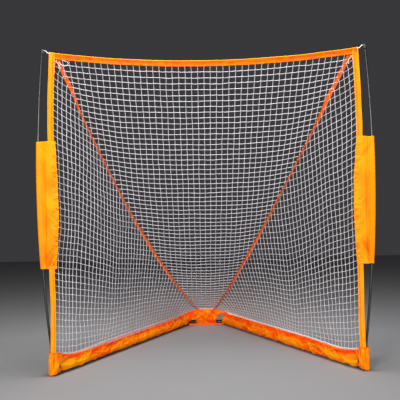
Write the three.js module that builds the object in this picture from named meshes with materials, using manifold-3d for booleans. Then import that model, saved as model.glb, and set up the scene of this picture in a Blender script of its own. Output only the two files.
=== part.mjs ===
// Portable lacrosse goal: a V shaped steel base that plugs together, two bowed side poles, and a
// square mesh net sewn to fabric hems, base skirts, corner boots and a rear flap.
// Millimetres, +Z up, +Y from the mouth to the rear. Pieces are built with y = 0 in the mouth's
// plane, and the last lines move the goal so that its origin is under its middle, on the ground.
import * as THREE from 'three';
import { mergeVertices } from 'three/addons/utils/BufferGeometryUtils.js';
import Module from 'manifold-3d';

const wasm = await Module();
wasm.setup();

// Mouth and hems
const mouthHalfWidth = 922;
const hemWidth = 40;
const hemThickness = 4;
const hemCornerZ = 1980;
const hemSag = 68;
const hemFootZ = 104;

// Clearances between neighbours, and overruns of cutting tools
const seatGap = 0.3;
const clothGap = 0.5;
const cutOverrun = 20;

// Base: a side rail runs from beside the hem, in the mouth's plane, to the rear corner. The feet
// stand nearer the middle than the top hem's ends, by the foot inset
const railOutset = 33;
const footInset = 14;
const rearCornerX = 168;
const rearBarY = 1800;
const railRadius = 19;
const railWall = 1.5;
const plugClearance = 0.3;
const plugLength = 80;
const swageLength = 8;
const collarStart = 30;
const collarEnd = 95;
const midJointAt = 940;
const elbowLeg = 150;
const elbowBendRadius = 80;
const clothThickness = 3;

// Side poles
const poleOutset = 18;
const poleSetback = 14;
const poleRise = 16;
const poleSpread = 82;
const poleBow = 228;
const poleRadius = 7.5;
const poleLowerJointZ = 730;
const poleUpperJointZ = 1350;
const poleFit = 0.3;
const ferruleWall = 1.4;
const ferruleHalfLength = 50;
const footSleeveRadius = 11;
const footSleeveWall = 1.5;
const footSleeveTopZ = 112;
const rodSeatZ = 76;
const socketWall = 1.7;
const socketFootZ = 5.5;
const socketFloorZ = 10;
const socketTopZ = 100;
const tipWall = 2;
const tipGrip = 20;
const tipDome = 9;

// Lock buttons: one size in the rails, a smaller one in the pole feet
const railButton = {
  stemRadius: 4, flangeRadius: 5.5, flangeThickness: 2, proud: 4.2, dome: 2.4,
  stripWidth: 8, stripThickness: 0.8, stripLength: 44, stripTail: 7,
};
const poleButton = {
  stemRadius: 2.8, flangeRadius: 3.6, flangeThickness: 1.2, proud: 3.6, dome: 1.8,
  stripWidth: 5, stripThickness: 0.6, stripLength: 26, stripTail: 4.5,
};
const holeClearance = 0.4;
const poleButtonZ = 52;

// Net
const meshPitch = 42.5;
const cellsPerGap = 4;
const strandWidth = 12;
const strandThickness = 5;
const netLap = 8;
const netSetback = 4.8;
const netTopInset = 7;
const netRearInset = 55;
const netRearZ = 150;
const netRearHalfWidth = 62;
const netCurveShares = [[0.241, 0.289], [0.544, 0.751]];
const netFrontY = -1;
const netInset = 0.5;
const seamInset = 7;
const sideSagShare = 0.13;
const sideSagRun = 400;

// Seam tapes and cords
const tapeWidth = 34;
const tapeThickness = 2;
const tapeOffset = 3.9;
const tapeStartShare = 0.006;
const tapeEndShare = 0.985;
const borderCordRadius = 2.6;
const borderCordDrop = 4.2;
const cornerCordRadius = 2.5;

// Side pockets
const pocketBottomZ = 640;
const pocketTopZ = 1420;
const pocketLap = 17;
const pocketTuck = 12;
const channelBore = 11;
const pocketFoldDepth = 3;
const pocketFoldCount = 3;

// Skirts, rear flap, rear strap
const skirtHeight = 112;
const skirtFrontRise = 45;
const skirtRiseRun = 220;
const skirtHalfWidth = 28;
const skirtFlange = 4.4;
const skirtHemZ = 8;
const skirtClearance = 2;
const skirtRearInset = 52;
const skirtFoldDepth = 3;
const skirtFoldLength = 190;
const skirtHemWaveLength = 320;
const flapTopHalfWidth = 66;
const flapBottomHalfWidth = 88;
const strapHeight = 12;
const strapThickness = 2;
const strapFootZ = 3;
const gussetHeight = 52;

// Corner boots and their eyelets
const bootWidth = 59;
const bootHeight = 128;
const bootFrontY = -18;
const bootRearY = 40;
const bootCorner = 10;
const eyeletHoleRadius = 8;
const eyeletRimRadius = 12;
const eyeletRimThickness = 1.6;
const eyeletWall = 1.2;

// Facets
const railSides = 14;
const poleSides = 12;
const bendSteps = 5;
const poleStepLength = 64;
const latheSteps = 12;

// Worked out from the sizes above
const hemOuterX = mouthHalfWidth + hemWidth;
const railFrontX = mouthHalfWidth + railOutset - footInset;
const poleFootX = mouthHalfWidth + poleOutset - footInset;
const pocketInnerX = mouthHalfWidth - pocketLap;
const poleTopZ = hemCornerZ + poleRise;
const netRearY = rearBarY - netRearInset;
const skirtRearY = rearBarY - skirtRearInset;
const hemY = -hemThickness / 2 - clothGap - hemThickness / 2;
const railZ = clothThickness + seatGap + railRadius;
const footSleeveBottomZ = socketFloorZ + seatGap;
const railBore = railRadius - railWall;
const plugRadius = railBore - plugClearance;
const plugBore = plugRadius - railWall;
const railRun = new THREE.Vector2(rearCornerX - railFrontX, rearBarY);
const railLength = railRun.length();
const railDirection = railRun.clone().divideScalar(railLength);
const footSleeveBore = footSleeveRadius - footSleeveWall;
const socketBore = footSleeveRadius + poleFit;
const socketRadius = socketBore + socketWall;
const skirtWall = clothThickness;
const netFootRise = strandThickness / 2 + seatGap;
const buttonPressed = railButton.proud + railWall + plugClearance;
const poleButtonPressed = poleButton.proud + socketWall + poleFit;

const vector = (x, y, z) => new THREE.Vector3(x, y, z);
const up = vector(0, 0, 1);
const rearward = vector(0, 1, 0);

// Points and triangles as one closed solid whose faces point out
function solid(points, faces) {
  let volume = 0;
  for (const [a, b, c] of faces) {
    volume += points[a].dot(points[b].clone().cross(points[c]));
  }
  const index = faces.flatMap(([a, b, c]) => (volume > 0 ? [a, b, c] : [a, c, b]));
  const geometry = new THREE.BufferGeometry();
  const places = new THREE.Float32BufferAttribute(points.flatMap((p) => p.toArray()), 3);
  geometry.setAttribute('position', places);
  geometry.setIndex(index);
  return geometry;
}

// Walls between successive rings of equally many points, and from the last to the first if closed
function skin(rings, closed) {
  const count = rings[0].length;
  const faces = [];
  const last = closed ? rings.length : rings.length - 1;
  for (let ring = 0; ring < last; ring += 1) {
    const base = ring * count;
    const next = ((ring + 1) % rings.length) * count;
    for (let i = 0; i < count; i += 1) {
      const j = (i + 1) % count;
      faces.push([base + i, base + j, next + j], [base + i, next + j, next + i]);
    }
  }
  return faces;
}

// Triangles over a flat outline, turned the way the outline runs
function capFaces(outline, offset, turned) {
  const sense = Math.sign(THREE.ShapeUtils.area(outline)) * (turned ? -1 : 1);
  return THREE.ShapeUtils.triangulateShape(outline, []).map((corners) => {
    const area = THREE.ShapeUtils.area(corners.map((i) => outline[i]));
    const [a, b, c] = corners.map((i) => i + offset);
    return area * sense > 0 ? [a, b, c] : [a, c, b];
  });
}

// A solid through rings that each lie flat; the end rings are drawn on the two named axes
function loft(rings, [first, second]) {
  const count = rings[0].length;
  const flat = (ring) => ring.map((p) => new THREE.Vector2(p[first], p[second]));
  const faces = skin(rings, false);
  faces.push(...capFaces(flat(rings[0]), 0, true));
  faces.push(...capFaces(flat(rings.at(-1)), count * (rings.length - 1), false));
  return solid(rings.flat(), faces);
}

// One ring round a station { at, along, radius }, started on the side that across points to
function circle({ at, along, radius }, across, sides) {
  const side = along.clone().cross(across).normalize();
  const front = side.clone().cross(along).normalize();
  return Array.from({ length: sides }, (_, i) => {
    const angle = (2 * Math.PI * i) / sides;
    return at.clone()
      .addScaledVector(front, radius * Math.cos(angle))
      .addScaledVector(side, radius * Math.sin(angle));
  });
}

// A round rod through stations, or a tube when inner stations are given
function tube(outer, inner, across, sides) {
  const rings = outer.map((station) => circle(station, across, sides));
  if (inner.length > 0) {
    rings.push(...inner.map((station) => circle(station, across, sides)).reverse());
    return solid(rings.flat(), skin(rings, true));
  }
  const faces = skin(rings, false);
  const end = sides * (rings.length - 1);
  for (let i = 1; i < sides - 1; i += 1) {
    faces.push([0, i + 1, i], [end, end + i, end + i + 1]);
  }
  return solid(rings.flat(), faces);
}

// A flat band through stations { at, half, thick }: half its width and half its thickness
function band(stations) {
  const rings = stations.map(({ at, half, thick }) => [
    at.clone().add(half).add(thick), at.clone().sub(half).add(thick),
    at.clone().sub(half).sub(thick), at.clone().add(half).sub(thick),
  ]);
  const faces = skin(rings, false);
  const end = 4 * (rings.length - 1);
  faces.push([0, 2, 1], [0, 3, 2], [end, end + 1, end + 2], [end, end + 2, end + 3]);
  return solid(rings.flat(), faces);
}

function toManifold(geometry) {
  const bare = geometry.clone();
  bare.deleteAttribute('normal');
  bare.deleteAttribute('uv');
  const merged = mergeVertices(bare, 1e-3);
  return new wasm.Manifold(new wasm.Mesh({
    numProp: 3,
    vertProperties: new Float32Array(merged.attributes.position.array),
    triVerts: new Uint32Array(merged.index.array),
  }));
}

function fromManifold(manifold) {
  const mesh = manifold.getMesh();
  const geometry = new THREE.BufferGeometry();
  geometry.setAttribute('position', new THREE.Float32BufferAttribute(mesh.vertProperties, 3));
  geometry.setIndex(Array.from(mesh.triVerts));
  return geometry;
}

function join(...geometries) {
  return fromManifold(geometries.map(toManifold).reduce((whole, piece) => whole.add(piece)));
}

function cut(geometry, ...tools) {
  const whole = toManifold(geometry);
  return fromManifold(tools.map(toManifold).reduce((rest, tool) => rest.subtract(tool), whole));
}

// Move a piece drawn with X along and Z up to a place with those two directions
function place(geometry, at, along, upward) {
  const across = upward.clone().cross(along);
  geometry.applyMatrix4(new THREE.Matrix4().makeBasis(along, across, upward).setPosition(at));
  return geometry;
}

// The same piece on the other side of the goal
function mirrored(geometry) {
  const copy = geometry.index ? geometry.clone() : mergeVertices(geometry);
  copy.scale(-1, 1, 1);
  const index = copy.index.array;
  for (let i = 0; i < index.length; i += 3) {
    [index[i + 1], index[i + 2]] = [index[i + 2], index[i + 1]];
  }
  return copy;
}

// Right rail: its direction, and the point of its axis at a distance from the mouth's plane
const railAlong = vector(railDirection.x, railDirection.y, 0);
const railPoint = (distance) => vector(railFrontX, 0, railZ).addScaledVector(railAlong, distance);
const railX = (y) => railFrontX + ((rearCornerX - railFrontX) * y) / rearBarY;
const railStation = (distance, radius) => ({
  at: railPoint(distance), along: railAlong, radius,
});

// The elbow's bend turns from the rail's direction to straight across
const bendAngle = Math.PI / 2 - Math.atan2(-railDirection.x, railDirection.y);
const bendTangent = elbowBendRadius * Math.tan(bendAngle / 2);
const bendStart = railLength - bendTangent;
const elbowStart = bendStart - elbowLeg;
const jointPlaces = {
  corner: collarEnd + plugLength / 2,
  rail: midJointAt + plugLength / 2,
  elbow: elbowStart - plugLength / 2,
};

// Stations of a straight tube whose rear end is swaged down to plug into the next one
function plugStations(start, bodyEnd, body, plug) {
  return [
    railStation(start, body),
    railStation(bodyEnd - swageLength, body),
    railStation(bodyEnd, plug),
    railStation(bodyEnd + plugLength, plug),
  ];
}

function buttonHole(at, along, outward, size) {
  const reach = railRadius + cutOverrun;
  const hole = new THREE.CylinderGeometry(
    size.stemRadius + holeClearance, size.stemRadius + holeClearance, reach, latheSteps,
  );
  hole.rotateX(Math.PI / 2);
  hole.translate(0, 0, reach / 2);
  return place(hole, at, along, outward);
}

const railHole = (distance) => buttonHole(railPoint(distance), railAlong, up, railButton);

function frontRail() {
  const start = collarEnd + seatGap;
  const body = tube(
    plugStations(start, midJointAt, railRadius, plugRadius),
    plugStations(start, midJointAt, railBore, plugBore), up, railSides,
  );
  return cut(body, railHole(jointPlaces.corner), railHole(jointPlaces.rail));
}

function rearRail() {
  const ends = [midJointAt + seatGap, elbowStart - seatGap];
  const body = tube(
    ends.map((distance) => railStation(distance, railRadius)),
    ends.map((distance) => railStation(distance, railBore)), up, railSides,
  );
  return cut(body, railHole(jointPlaces.rail), railHole(jointPlaces.elbow));
}

// Stations of the right half of the elbow, from its plug to the middle of the rear bar
function elbowHalf(body, plug) {
  const stations = [
    railStation(elbowStart - plugLength, plug),
    railStation(elbowStart, plug),
    railStation(elbowStart + swageLength, body),
  ];
  const centre = railPoint(bendStart).add(
    vector(-railDirection.y, railDirection.x, 0).multiplyScalar(elbowBendRadius),
  );
  for (let i = 0; i <= bendSteps; i += 1) {
    const turn = (bendAngle * i) / bendSteps;
    const along = railAlong.clone().applyAxisAngle(up, turn);
    const outward = vector(along.y, -along.x, 0);
    const at = centre.clone().addScaledVector(outward, elbowBendRadius);
    stations.push({ at, along, radius: body });
  }
  return stations;
}

function wholeElbow(body, plug) {
  const right = elbowHalf(body, plug);
  const left = right.map(({ at, along, radius }) => ({
    at: vector(-at.x, at.y, at.z), along: vector(along.x, -along.y, 0), radius,
  }));
  return [...right, ...left.reverse()];
}

function rearElbow() {
  const body = tube(
    wholeElbow(railRadius, plugRadius), wholeElbow(railBore, plugBore), up, railSides,
  );
  const hole = railHole(jointPlaces.elbow);
  return cut(body, hole, mirrored(hole));
}

// Right pole: its bowed axis, and stations along it
const poleX = (z) => {
  const share = z / poleTopZ;
  return poleFootX + poleSpread * share + poleBow * share * (1 - share);
};
const poleAlong = (z) => {
  const share = z / poleTopZ;
  const lean = (poleSpread + poleBow * (1 - 2 * share)) / poleTopZ;
  return vector(lean, 0, 1).normalize();
};
const polePoint = (z) => vector(poleX(z), poleSetback, z);
const poleStation = (z, radius) => ({ at: polePoint(z), along: poleAlong(z), radius });

function poleStations(bottom, top, radius) {
  const steps = Math.max(1, Math.round((top - bottom) / poleStepLength));
  return Array.from({ length: steps + 1 }, (_, i) => (
    poleStation(bottom + ((top - bottom) * i) / steps, radius)
  ));
}

const poleRod = (bottom, top) => (
  tube(poleStations(bottom, top, poleRadius), [], rearward, poleSides)
);

function ferrule(joint) {
  const ends = [joint - ferruleHalfLength, joint + ferruleHalfLength];
  const bore = poleRadius + poleFit;
  return tube(
    poleStations(...ends, bore + ferruleWall), poleStations(...ends, bore), rearward, poleSides,
  );
}

// Direction in which a pole's lock button points: towards the mouth's middle
const poleInward = rearward.clone().cross(poleAlong(poleButtonZ)).negate();
const poleHole = () => (
  buttonHole(polePoint(poleButtonZ), poleAlong(poleButtonZ), poleInward, poleButton)
);

function poleFoot() {
  const bore = poleRadius + poleFit;
  const outer = poleStations(footSleeveBottomZ, footSleeveTopZ, footSleeveRadius);
  const inner = [
    poleStation(footSleeveBottomZ, footSleeveBore),
    poleStation(rodSeatZ - seatGap, footSleeveBore),
    poleStation(rodSeatZ - seatGap, bore),
    poleStation(footSleeveTopZ, bore),
  ];
  return cut(tube(outer, inner, rearward, poleSides), poleHole());
}

function poleTip() {
  const bore = poleRadius + poleFit;
  const radius = bore + tipWall;
  const domeShares = [[0.55, 0.86], [1, 0.38]];
  const crown = poleTopZ + seatGap;
  const body = tube(
    [
      poleStation(poleTopZ - tipGrip, radius),
      poleStation(crown, radius),
      ...domeShares.map(([rise, width]) => poleStation(crown + tipDome * rise, radius * width)),
    ],
    [], rearward, poleSides,
  );
  const hollow = tube(
    [poleStation(poleTopZ - tipGrip - cutOverrun, bore), poleStation(crown, bore)],
    [], rearward, poleSides,
  );
  return cut(body, hollow);
}

// Welded corner: a collar and plug for the rail, and a leaning socket for the pole's foot
function cornerBracket() {
  const collar = tube(
    [
      railStation(collarStart, railRadius),
      railStation(collarEnd, railRadius),
      railStation(collarEnd, plugRadius),
      railStation(collarEnd + plugLength, plugRadius),
    ],
    [], up, railSides,
  );
  const socket = tube(
    [poleStation(socketFootZ, socketRadius), poleStation(socketTopZ, socketRadius)],
    [], rearward, poleSides,
  );
  const socketHollow = tube(
    [poleStation(socketFloorZ, socketBore), poleStation(socketTopZ + cutOverrun, socketBore)],
    [], rearward, poleSides,
  );
  const railHollow = tube(
    [
      railStation(collarEnd - swageLength, plugBore),
      railStation(collarEnd + plugLength + cutOverrun, plugBore),
    ],
    [], up, railSides,
  );
  return cut(
    join(collar, socket), socketHollow, railHollow, railHole(jointPlaces.corner), poleHole(),
  );
}

// Lock button on its spring arm, drawn with the tube's axis along X and the button along Z
const wallAt = (bore, half) => (
  Math.sqrt((bore * Math.cos(Math.PI / poleSides)) ** 2 - half ** 2) - seatGap
);
const flangeTop = (size, bore) => wallAt(bore, size.flangeRadius);

function lockButton(size, bore, shellRadius) {
  const top = flangeTop(size, bore);
  const foot = top - size.flangeThickness;
  const tip = shellRadius + size.proud;
  const domeShare = 0.75;
  const profile = [
    [0, foot], [size.flangeRadius, foot], [size.flangeRadius, top], [size.stemRadius, top],
    [size.stemRadius, tip - size.dome], [size.stemRadius * domeShare, tip - size.dome * (1 - domeShare)],
    [0, tip],
  ].map(([radius, height]) => new THREE.Vector2(radius, height));
  const pin = new THREE.LatheGeometry(profile, latheSteps);
  pin.rotateX(Math.PI / 2);
  const armEnd = size.stripLength - seatGap;
  const arm = new THREE.BoxGeometry(armEnd + size.stripTail, size.stripWidth, 2 * size.stripThickness);
  arm.translate((armEnd - size.stripTail) / 2, 0, foot);
  return join(pin, arm);
}

// Bent leaf that holds the arm up: it rests on the far wall and curls back to the arm's end
function buttonSpring(size, bore) {
  const floor = -wallAt(bore, size.stripWidth / 2);
  const armTop = flangeTop(size, bore) - size.flangeThickness + size.stripThickness;
  const radius = (armTop - floor) / 2;
  const middle = (armTop + floor) / 2;
  const end = size.stripLength;
  const shape = new THREE.Shape();
  shape.moveTo(-size.stripTail, floor);
  shape.lineTo(end, floor);
  shape.absarc(end, middle, radius, -Math.PI / 2, Math.PI / 2, false);
  shape.lineTo(end, armTop - size.stripThickness);
  shape.absarc(end, middle, radius - size.stripThickness, Math.PI / 2, -Math.PI / 2, true);
  shape.lineTo(-size.stripTail, floor + size.stripThickness);
  const leaf = new THREE.ExtrudeGeometry(shape, {
    depth: size.stripWidth, bevelEnabled: false, curveSegments: 6,
  });
  leaf.translate(0, 0, -size.stripWidth / 2);
  leaf.rotateX(Math.PI / 2);
  return leaf;
}

const railLock = (distance) => ({
  button: place(
    lockButton(railButton, plugBore, railRadius), railPoint(distance), railAlong, up,
  ),
  spring: place(buttonSpring(railButton, plugBore), railPoint(distance), railAlong, up),
});

function poleLock() {
  const spot = [polePoint(poleButtonZ), poleAlong(poleButtonZ).negate(), poleInward];
  return {
    button: place(lockButton(poleButton, footSleeveBore, socketRadius), ...spot),
    spring: place(buttonSpring(poleButton, footSleeveBore), ...spot),
  };
}

// Height of the top hem's upper edge across the mouth
const hemEdge = (x) => hemCornerZ - hemSag * (1 - (x / hemOuterX) ** 2);

function topHem() {
  const steps = 20;
  return band(Array.from({ length: steps + 1 }, (_, i) => {
    const x = hemOuterX * ((2 * i) / steps - 1);
    return {
      at: vector(x, 0, hemEdge(x) - hemWidth / 2),
      half: vector(0, 0, hemWidth / 2),
      thick: vector(0, hemThickness / 2, 0),
    };
  }));
}

// Side hem, leaning in from the corner to the foot
function sideHem() {
  return band([hemFootZ, hemCornerZ].map((z) => ({
    at: vector(mouthHalfWidth + hemWidth / 2 - footInset * (1 - z / hemCornerZ), hemY, z),
    half: vector(hemWidth / 2, 0, 0),
    thick: vector(0, hemThickness / 2, 0),
  })));
}

// Back net: a hanging curve from the top hem to the rear flap, as wide at each height as the
// straight seam lines leave it
const netTopZ = hemEdge(0) - hemWidth + netLap;
const netTopHalfWidth = mouthHalfWidth - netTopInset;
const netDrop = netTopZ - netRearZ;
const netCurve = new THREE.CubicBezierCurve(
  new THREE.Vector2(netSetback, netTopZ),
  ...netCurveShares.map(([depth, drop]) => (
    new THREE.Vector2(netRearY * depth, netTopZ - netDrop * drop)
  )),
  new THREE.Vector2(netRearY, netRearZ),
);
const netLength = netCurve.getLength();

function backPoint(x, down) {
  const share = Math.min(Math.max(down / netLength, 0), 1);
  const { x: y, y: z } = netCurve.getPointAt(share);
  return vector(x, y, z + (hemEdge(x) - hemEdge(0)) * (1 - share));
}

const seamPoint = (share) => backPoint(
  netTopHalfWidth + (netRearHalfWidth - netTopHalfWidth) * share, share * netLength,
);

// Side net: upright lines from the skirt's top edge to the seam, with slack that lets them droop
const skirtTop = (y) => {
  const share = Math.min((y - netFrontY) / skirtRiseRun, 1);
  return skirtHeight + skirtFrontRise * (1 - share) ** 2;
};
const netFoot = (share) => {
  const y = netFrontY + (netRearY - netFrontY) * share;
  const front = mouthHalfWidth + strandThickness / 2 - footInset;
  return vector(front + (railX(netRearY) - front) * share, y, skirtTop(y) + netFootRise);
};
const sideLength = netFoot(0).distanceTo(netFoot(1));
const sideFrontHeight = netFoot(0).distanceTo(seamPoint(0));
const sideRearHeight = netFoot(1).distanceTo(seamPoint(1));

function sidePoint(back, height) {
  const share = Math.min(Math.max(back / sideLength, 0), 1);
  const full = sideFrontHeight + (sideRearHeight - sideFrontHeight) * share;
  const rise = height / full;
  const slack = sideSagShare * Math.min(1, back / sideSagRun);
  return netFoot(share).lerp(seamPoint(share), rise - slack * rise * (1 - rise));
}

// Part of a convex outline that lies inside a convex field, drawn in from its edges
function clip(outline, field, inset) {
  let rest = outline;
  field.forEach((from, i) => {
    const edge = field[(i + 1) % field.length].clone().sub(from).normalize();
    const depth = (p) => edge.cross(p.clone().sub(from)) - inset;
    const kept = [];
    rest.forEach((p, j) => {
      const next = rest[(j + 1) % rest.length];
      const [here, there] = [depth(p), depth(next)];
      if (here >= 0) kept.push(p);
      if (here * there < 0) kept.push(p.clone().lerp(next, here / (here - there)));
    });
    rest = kept;
  });
  return rest;
}

// Triangles between a convex outline and a convex hole in it
function frameTriangles(outline, hole) {
  const middle = hole.reduce((sum, p) => sum.add(p), new THREE.Vector2()).divideScalar(hole.length);
  const byAngle = (points) => points
    .map((p) => ({ p, angle: Math.atan2(p.y - middle.y, p.x - middle.x) }))
    .sort((a, b) => a.angle - b.angle);
  const [outer, inner] = [byAngle(outline), byAngle(hole)];
  const angleAt = (ring, i) => ring[i % ring.length].angle + 2 * Math.PI * Math.floor(i / ring.length);
  const at = (ring, i) => ring[i % ring.length].p;
  const triangles = [];
  let [i, j] = [0, 0];
  while (i < outer.length || j < inner.length) {
    const goOuter = j >= inner.length
      || (i < outer.length && angleAt(outer, i + 1) <= angleAt(inner, j + 1));
    if (goOuter) {
      triangles.push([at(outer, i), at(outer, i + 1), at(inner, j)]);
      i += 1;
    } else {
      triangles.push([at(outer, i), at(inner, j + 1), at(inner, j)]);
      j += 1;
    }
  }
  return triangles;
}

// A net over a convex field: square gaps on an even grid, each cut back to the field's border
function netTriangles(field) {
  const pitch = meshPitch * cellsPerGap;
  const xs = field.map((p) => p.x);
  const ys = field.map((p) => p.y);
  const square = (column, row, shrink) => [[0, 0], [1, 0], [1, 1], [0, 1]].map(([x, y]) => (
    new THREE.Vector2(
      (column + x) * pitch + shrink * (1 - 2 * x), (row + y) * pitch + shrink * (1 - 2 * y),
    )
  ));
  const triangles = [];
  for (let row = Math.floor(Math.min(...ys) / pitch); row * pitch < Math.max(...ys); row += 1) {
    for (let column = Math.floor(Math.min(...xs) / pitch); column * pitch < Math.max(...xs); column += 1) {
      const cell = clip(square(column, row, 0), field, 0);
      const hole = clip(square(column, row, strandWidth / 2), field, strandWidth);
      if (hole.length > 2 && THREE.ShapeUtils.area(hole) > strandWidth ** 2) {
        triangles.push(...frameTriangles(cell, hole));
      } else {
        for (let i = 1; i < cell.length - 1; i += 1) triangles.push([cell[0], cell[i], cell[i + 1]]);
      }
    }
  }
  return triangles;
}

// A flat net laid on a surface: both faces, and a wall along every open edge
function net(field, surface) {
  const probe = 1;
  const keys = new Map();
  const flat = [];
  const number = (p) => {
    const key = `${Math.round(p.x * 100)},${Math.round(p.y * 100)}`;
    if (!keys.has(key)) {
      keys.set(key, flat.length);
      flat.push(p);
    }
    return keys.get(key);
  };
  const triangles = netTriangles(field)
    .map((corners) => corners.map(number))
    .filter(([a, b, c]) => a !== b && b !== c && c !== a);
  const faceSide = (side) => flat.map((p) => {
    const at = surface(p.x, p.y);
    const alongX = surface(p.x + probe, p.y).sub(surface(p.x - probe, p.y));
    const alongY = surface(p.x, p.y + probe).sub(surface(p.x, p.y - probe));
    return at.addScaledVector(alongX.cross(alongY).normalize(), (side * strandThickness) / 2);
  });
  const count = flat.length;
  const faces = triangles.flatMap(([a, b, c]) => [[a, b, c], [a + count, c + count, b + count]]);
  const edges = new Set(triangles.flatMap(([a, b, c]) => [`${a},${b}`, `${b},${c}`, `${c},${a}`]));
  for (const edge of edges) {
    const [a, b] = edge.split(',').map(Number);
    if (!edges.has(`${b},${a}`)) faces.push([b, a, a + count], [b, a + count, b + count]);
  }
  return solid([...faceSide(1), ...faceSide(-1)], faces);
}

const corner = (x, y) => new THREE.Vector2(x, y);

function backNet() {
  const fall = Math.hypot(netLength, netTopHalfWidth - netRearHalfWidth) / netLength;
  const [top, rear] = [netTopHalfWidth, netRearHalfWidth].map((half) => half - seamInset * fall);
  const bottom = netLength - netInset;
  return net([corner(-top, 0), corner(top, 0), corner(rear, bottom), corner(-rear, bottom)], backPoint);
}

function sideNet() {
  return net([
    corner(0, 0), corner(sideLength - netInset, 0),
    corner(sideLength - netInset, sideRearHeight - seamInset),
    corner(0, sideFrontHeight - seamInset),
  ], sidePoint);
}

// Webbing over the seam, turned half way between the back net and the side net
function seamTape() {
  const steps = 26;
  const probe = 0.004;
  return band(Array.from({ length: steps + 1 }, (_, i) => {
    const share = tapeStartShare + ((tapeEndShare - tapeStartShare) * i) / steps;
    const at = seamPoint(share);
    const along = seamPoint(share + probe).sub(seamPoint(share - probe)).normalize();
    const toMiddle = vector(0, at.y, at.z).sub(at).normalize();
    const toFoot = netFoot(share).sub(at).normalize();
    const outward = toMiddle.add(toFoot).negate();
    outward.addScaledVector(along, -outward.dot(along)).normalize();
    const across = along.clone().cross(outward);
    return {
      at: at.addScaledVector(outward, tapeOffset),
      half: across.multiplyScalar(tapeWidth / 2),
      thick: outward.clone().multiplyScalar(tapeThickness / 2),
    };
  }));
}

// Side pocket: a front sheet over the hem that closes round the pole as a round channel
function sidePocket() {
  const levels = 8;
  const arcSteps = 7;
  const wall = channelBore + clothThickness;
  const sheetBack = hemY - hemThickness / 2 - clothGap;
  const rings = Array.from({ length: levels + 1 }, (_, i) => {
    const share = i / levels;
    const z = pocketBottomZ + (pocketTopZ - pocketBottomZ) * share;
    const fold = pocketFoldDepth * Math.sin(pocketFoldCount * Math.PI * share) ** 2;
    const innerX = pocketInnerX + pocketTuck * (2 * share - 1) ** 2;
    const [from, to] = [-0.62 * Math.PI, 0.93 * Math.PI];
    const arc = Array.from({ length: arcSteps + 1 }, (_unused, k) => {
      const angle = from + ((to - from) * k) / arcSteps;
      return vector(poleX(z) + wall * Math.cos(angle), poleSetback + wall * Math.sin(angle), z);
    });
    return [
      vector(innerX, sheetBack, z),
      vector(innerX, sheetBack - clothThickness, z),
      vector((innerX + hemOuterX) / 2, sheetBack - clothThickness - fold, z),
      vector(hemOuterX, sheetBack - clothThickness, z),
      ...arc,
      vector(hemOuterX + clothGap, sheetBack, z),
    ];
  });
  const ends = [pocketBottomZ - cutOverrun, pocketTopZ + cutOverrun];
  const channel = tube(poleStations(...ends, channelBore), [], rearward, poleSides);
  return cut(loft(rings, ['x', 'y']), channel);
}

// Skirt: a sleeve over the rail that is open below, gathered into a flange that holds the net
function skirt() {
  const steps = 20;
  const slant = 1 / railDirection.y;
  const insideTopShares = [[1, 0.42], [0.8, 0.76], [0.42, 0.97], [0, 1.04]];
  const outsideShares = [[1, 0.42], [0.88, 0.82], [0.5, 1.12]];
  const insideTop = railZ + railRadius + railButton.proud + skirtClearance;
  const rings = Array.from({ length: steps + 1 }, (_, i) => {
    const y = bootRearY + clothGap + ((skirtRearY - bootRearY - clothGap) * i) / steps;
    const fold = Math.sin((2 * Math.PI * y) / skirtFoldLength);
    const wave = Math.sin((2 * Math.PI * y) / skirtHemWaveLength);
    const half = skirtHalfWidth + skirtFoldDepth * Math.abs(fold);
    const hem = skirtHemZ + (skirtFoldDepth * (1 + wave)) / 2;
    const share = (y - netFrontY) / (netRearY - netFrontY);
    const lean = (netFoot(share).x - railX(y)) / slant;
    const top = skirtTop(y);
    const wallX = half - skirtWall;
    const outside = outsideShares.map(([width, height]) => [half * width, insideTop * height]);
    const inside = insideTopShares.map(([width, height]) => [wallX * width, insideTop * height]);
    const flange = skirtFlange / 2;
    const section = [
      [-half, hem], ...outside.map(([n, z]) => [-n, z]),
      [lean - flange, insideTop + skirtWall + flange * 2], [lean - flange, top], [lean + flange, top],
      [lean + flange, insideTop + skirtWall + flange * 2],
      ...outside.slice().reverse(), [half, hem],
      [wallX, hem], ...inside, ...inside.slice(0, -1).reverse().map(([n, z]) => [-n, z]),
      [-wallX, hem],
    ];
    return section.map(([n, z]) => vector(railX(y) + n * slant, y, z));
  });
  return loft(rings, ['x', 'z']);
}

// Gusset: cloth sewn to the skirt's rear end, up to the seam's end beside the flap
function rearGusset() {
  const y = skirtRearY - clothGap + clothThickness / 2;
  const ends = [
    [railX(skirtRearY), skirtHeight], [flapTopHalfWidth + 2 * clothThickness, netRearZ],
  ];
  return band(ends.map(([x, top]) => ({
    at: vector(x, y, top - gussetHeight / 2),
    half: vector(0, 0, gussetHeight / 2),
    thick: vector(0, clothThickness / 2, 0),
  })));
}

// Cord along the foot of a side net, on the inner side of the skirt's flange
function borderCord() {
  const steps = 22;
  const aside = skirtFlange / 2 + seatGap + borderCordRadius;
  const slant = 1 / railDirection.y;
  const from = bootRearY + 2 * borderCordRadius;
  const to = skirtRearY - clothThickness - 2 * borderCordRadius;
  const stations = Array.from({ length: steps + 1 }, (_, i) => {
    const y = from + ((to - from) * i) / steps;
    const foot = netFoot((y - netFrontY) / (netRearY - netFrontY));
    const at = vector(foot.x - aside * slant, y, foot.z - borderCordDrop);
    return { at, along: railAlong, radius: borderCordRadius };
  });
  return tube(stations, [], up, 6);
}

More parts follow.
